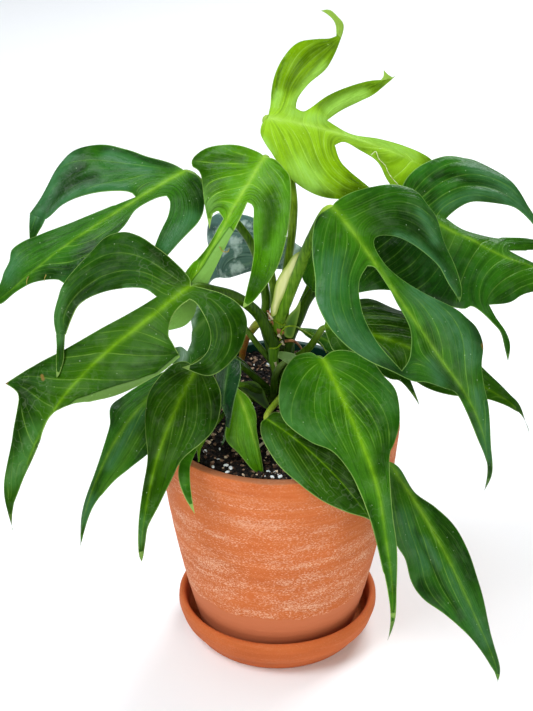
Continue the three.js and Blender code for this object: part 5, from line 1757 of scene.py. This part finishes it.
# Runs a node tree on a copy of a piece and gives back a plain mesh object
def grown(base, name, tree, settings):
    carrier = bpy.data.objects.new(name + "_carrier", base.data.copy())
    bpy.context.scene.collection.objects.link(carrier)
    modifier = carrier.modifiers.new("nodes", "NODES")
    modifier.node_group = tree
    for item in tree.interface.items_tree:
        if item.in_out == "INPUT" and item.name in settings:
            modifier[item.identifier] = settings[item.name]
    view = bpy.context.evaluated_depsgraph_get()
    mesh = bpy.data.meshes.new_from_object(carrier.evaluated_get(view), depsgraph=view)
    mesh.name = name
    bpy.data.objects.remove(carrier)
    piece = bpy.data.objects.new(name, mesh)
    bpy.context.scene.collection.objects.link(piece)
    return piece


# The peat's and the bark's dark ends are darker than the matter is: painted shade for the deep gaps between
# the grains
grains = {
    "peat_crumbs": {
        "stops": [(0, "#040201"), (0.45, "#0d0704"), (0.8, "#22140c"), (1, "#57402e")], "roughness": 0.85,
        "Grains per square metre": 420000.0, "Smallest": 0.0008, "Largest": 0.0026, "Thickness": 0.8,
        "Faces": 1, "Seed": 4, "Lift": 0.0002,
    },
    "bark_chips": {
        "stops": [(0, "#0a0603"), (0.5, "#1c100a"), (0.72, "#5a3c28"), (0.9, "#b8977a"), (1, "#e0c8ac")],
        "roughness": 0.7,
        "Grains per square metre": 120000.0, "Smallest": 0.0012, "Largest": 0.0044, "Thickness": 0.6,
        "Faces": 1, "Seed": 11, "Lift": 0.0006,
    },
    "perlite": {
        "stops": [(0, "#c4d0d4"), (0.5, "#e6ecec"), (1, "#f6f6f2")], "roughness": 0.7,
        "Grains per square metre": 5000.0, "Smallest": 0.0009, "Largest": 0.0036, "Thickness": 0.6,
        "Faces": 2, "Seed": 23, "Lift": 0.0008,
    },
}

# The larger pieces that stand out at the front: across, away from the viewer, and size, in mm
stones = {
    "perlite_flakes": [(-38, -52, 2), (-41, -61, 2.4), (-33, -59, 3), (-30, -62, 3.2), (-32, -65, 2.6),
                       (-4, -70, 2.8), (1, -70, 3), (-36, -32, 1.8), (-46, -45, 1.8)],
    "tan_stones": [(-1, -54, 3.6), (-7, -57, 4), (-52, -42, 2.6), (-46, -52, 2.8), (-25, -50, 2.8)],
}


def makeStones(name, places, spec):
    vertices, faces = [], []
    for n, (x, y, size) in enumerate(places):
        share = math.hypot(x, y - spec["centre"][1]) / spec["frontRadius"]
        centre = Vector((x, y, mixHeight(spec, x, y, share, 1) + 0.2 * size))
        ball = bmesh.new()
        bmesh.ops.create_icosphere(ball, subdivisions=3, radius=0.5)
        turn = Matrix.Rotation(1.7 * n, 3, "Z") @ Matrix.Diagonal((1.2, 0.8, 0.55))
        start = len(vertices)
        for vertex in ball.verts:
            lump = 1 + 0.25 * noise.noise(vertex.co * 3.5 + Vector((7 * n, 0, 0)))
            vertices.append((centre + turn @ vertex.co * lump * size) * mm)
        faces += [[start + v.index for v in face.verts] for face in ball.faces]
        ball.free()
    piece = newPiece(name, vertices, faces, 50)
    setAttribute(piece.data, "tint", [0.6] * len(vertices))
    stops = grains["perlite" if "perlite" in name else "bark_chips"]["stops"]
    piece.data.materials.append(grainMaterial(name + ", porous rock", stops, 0.7, 500))
    finishPiece(piece, "potting_mix")


# The bed shows in the gaps between the grains. It has no tint, so it takes the peat's near-black end: dark
# peat, partly painted shade
bed = makeMix(mix)
bed.data.materials.append(grainMaterial("peat bed, dark peat with painted shade", grains["peat_crumbs"]["stops"], 0.9, 500))
finishPiece(bed, "potting_mix", "potting_mix")
strew = grainTree("strewn grains")
for name, grain in grains.items():
    matter = grainMaterial(name + " grains", grain["stops"], grain["roughness"], 700)
    piece = grown(bed, name, strew, dict(grain, Matter=matter))
    finishPiece(piece, "potting_mix")
for name, places in stones.items():
    makeStones(name, places, mix)
print("potting mix made")
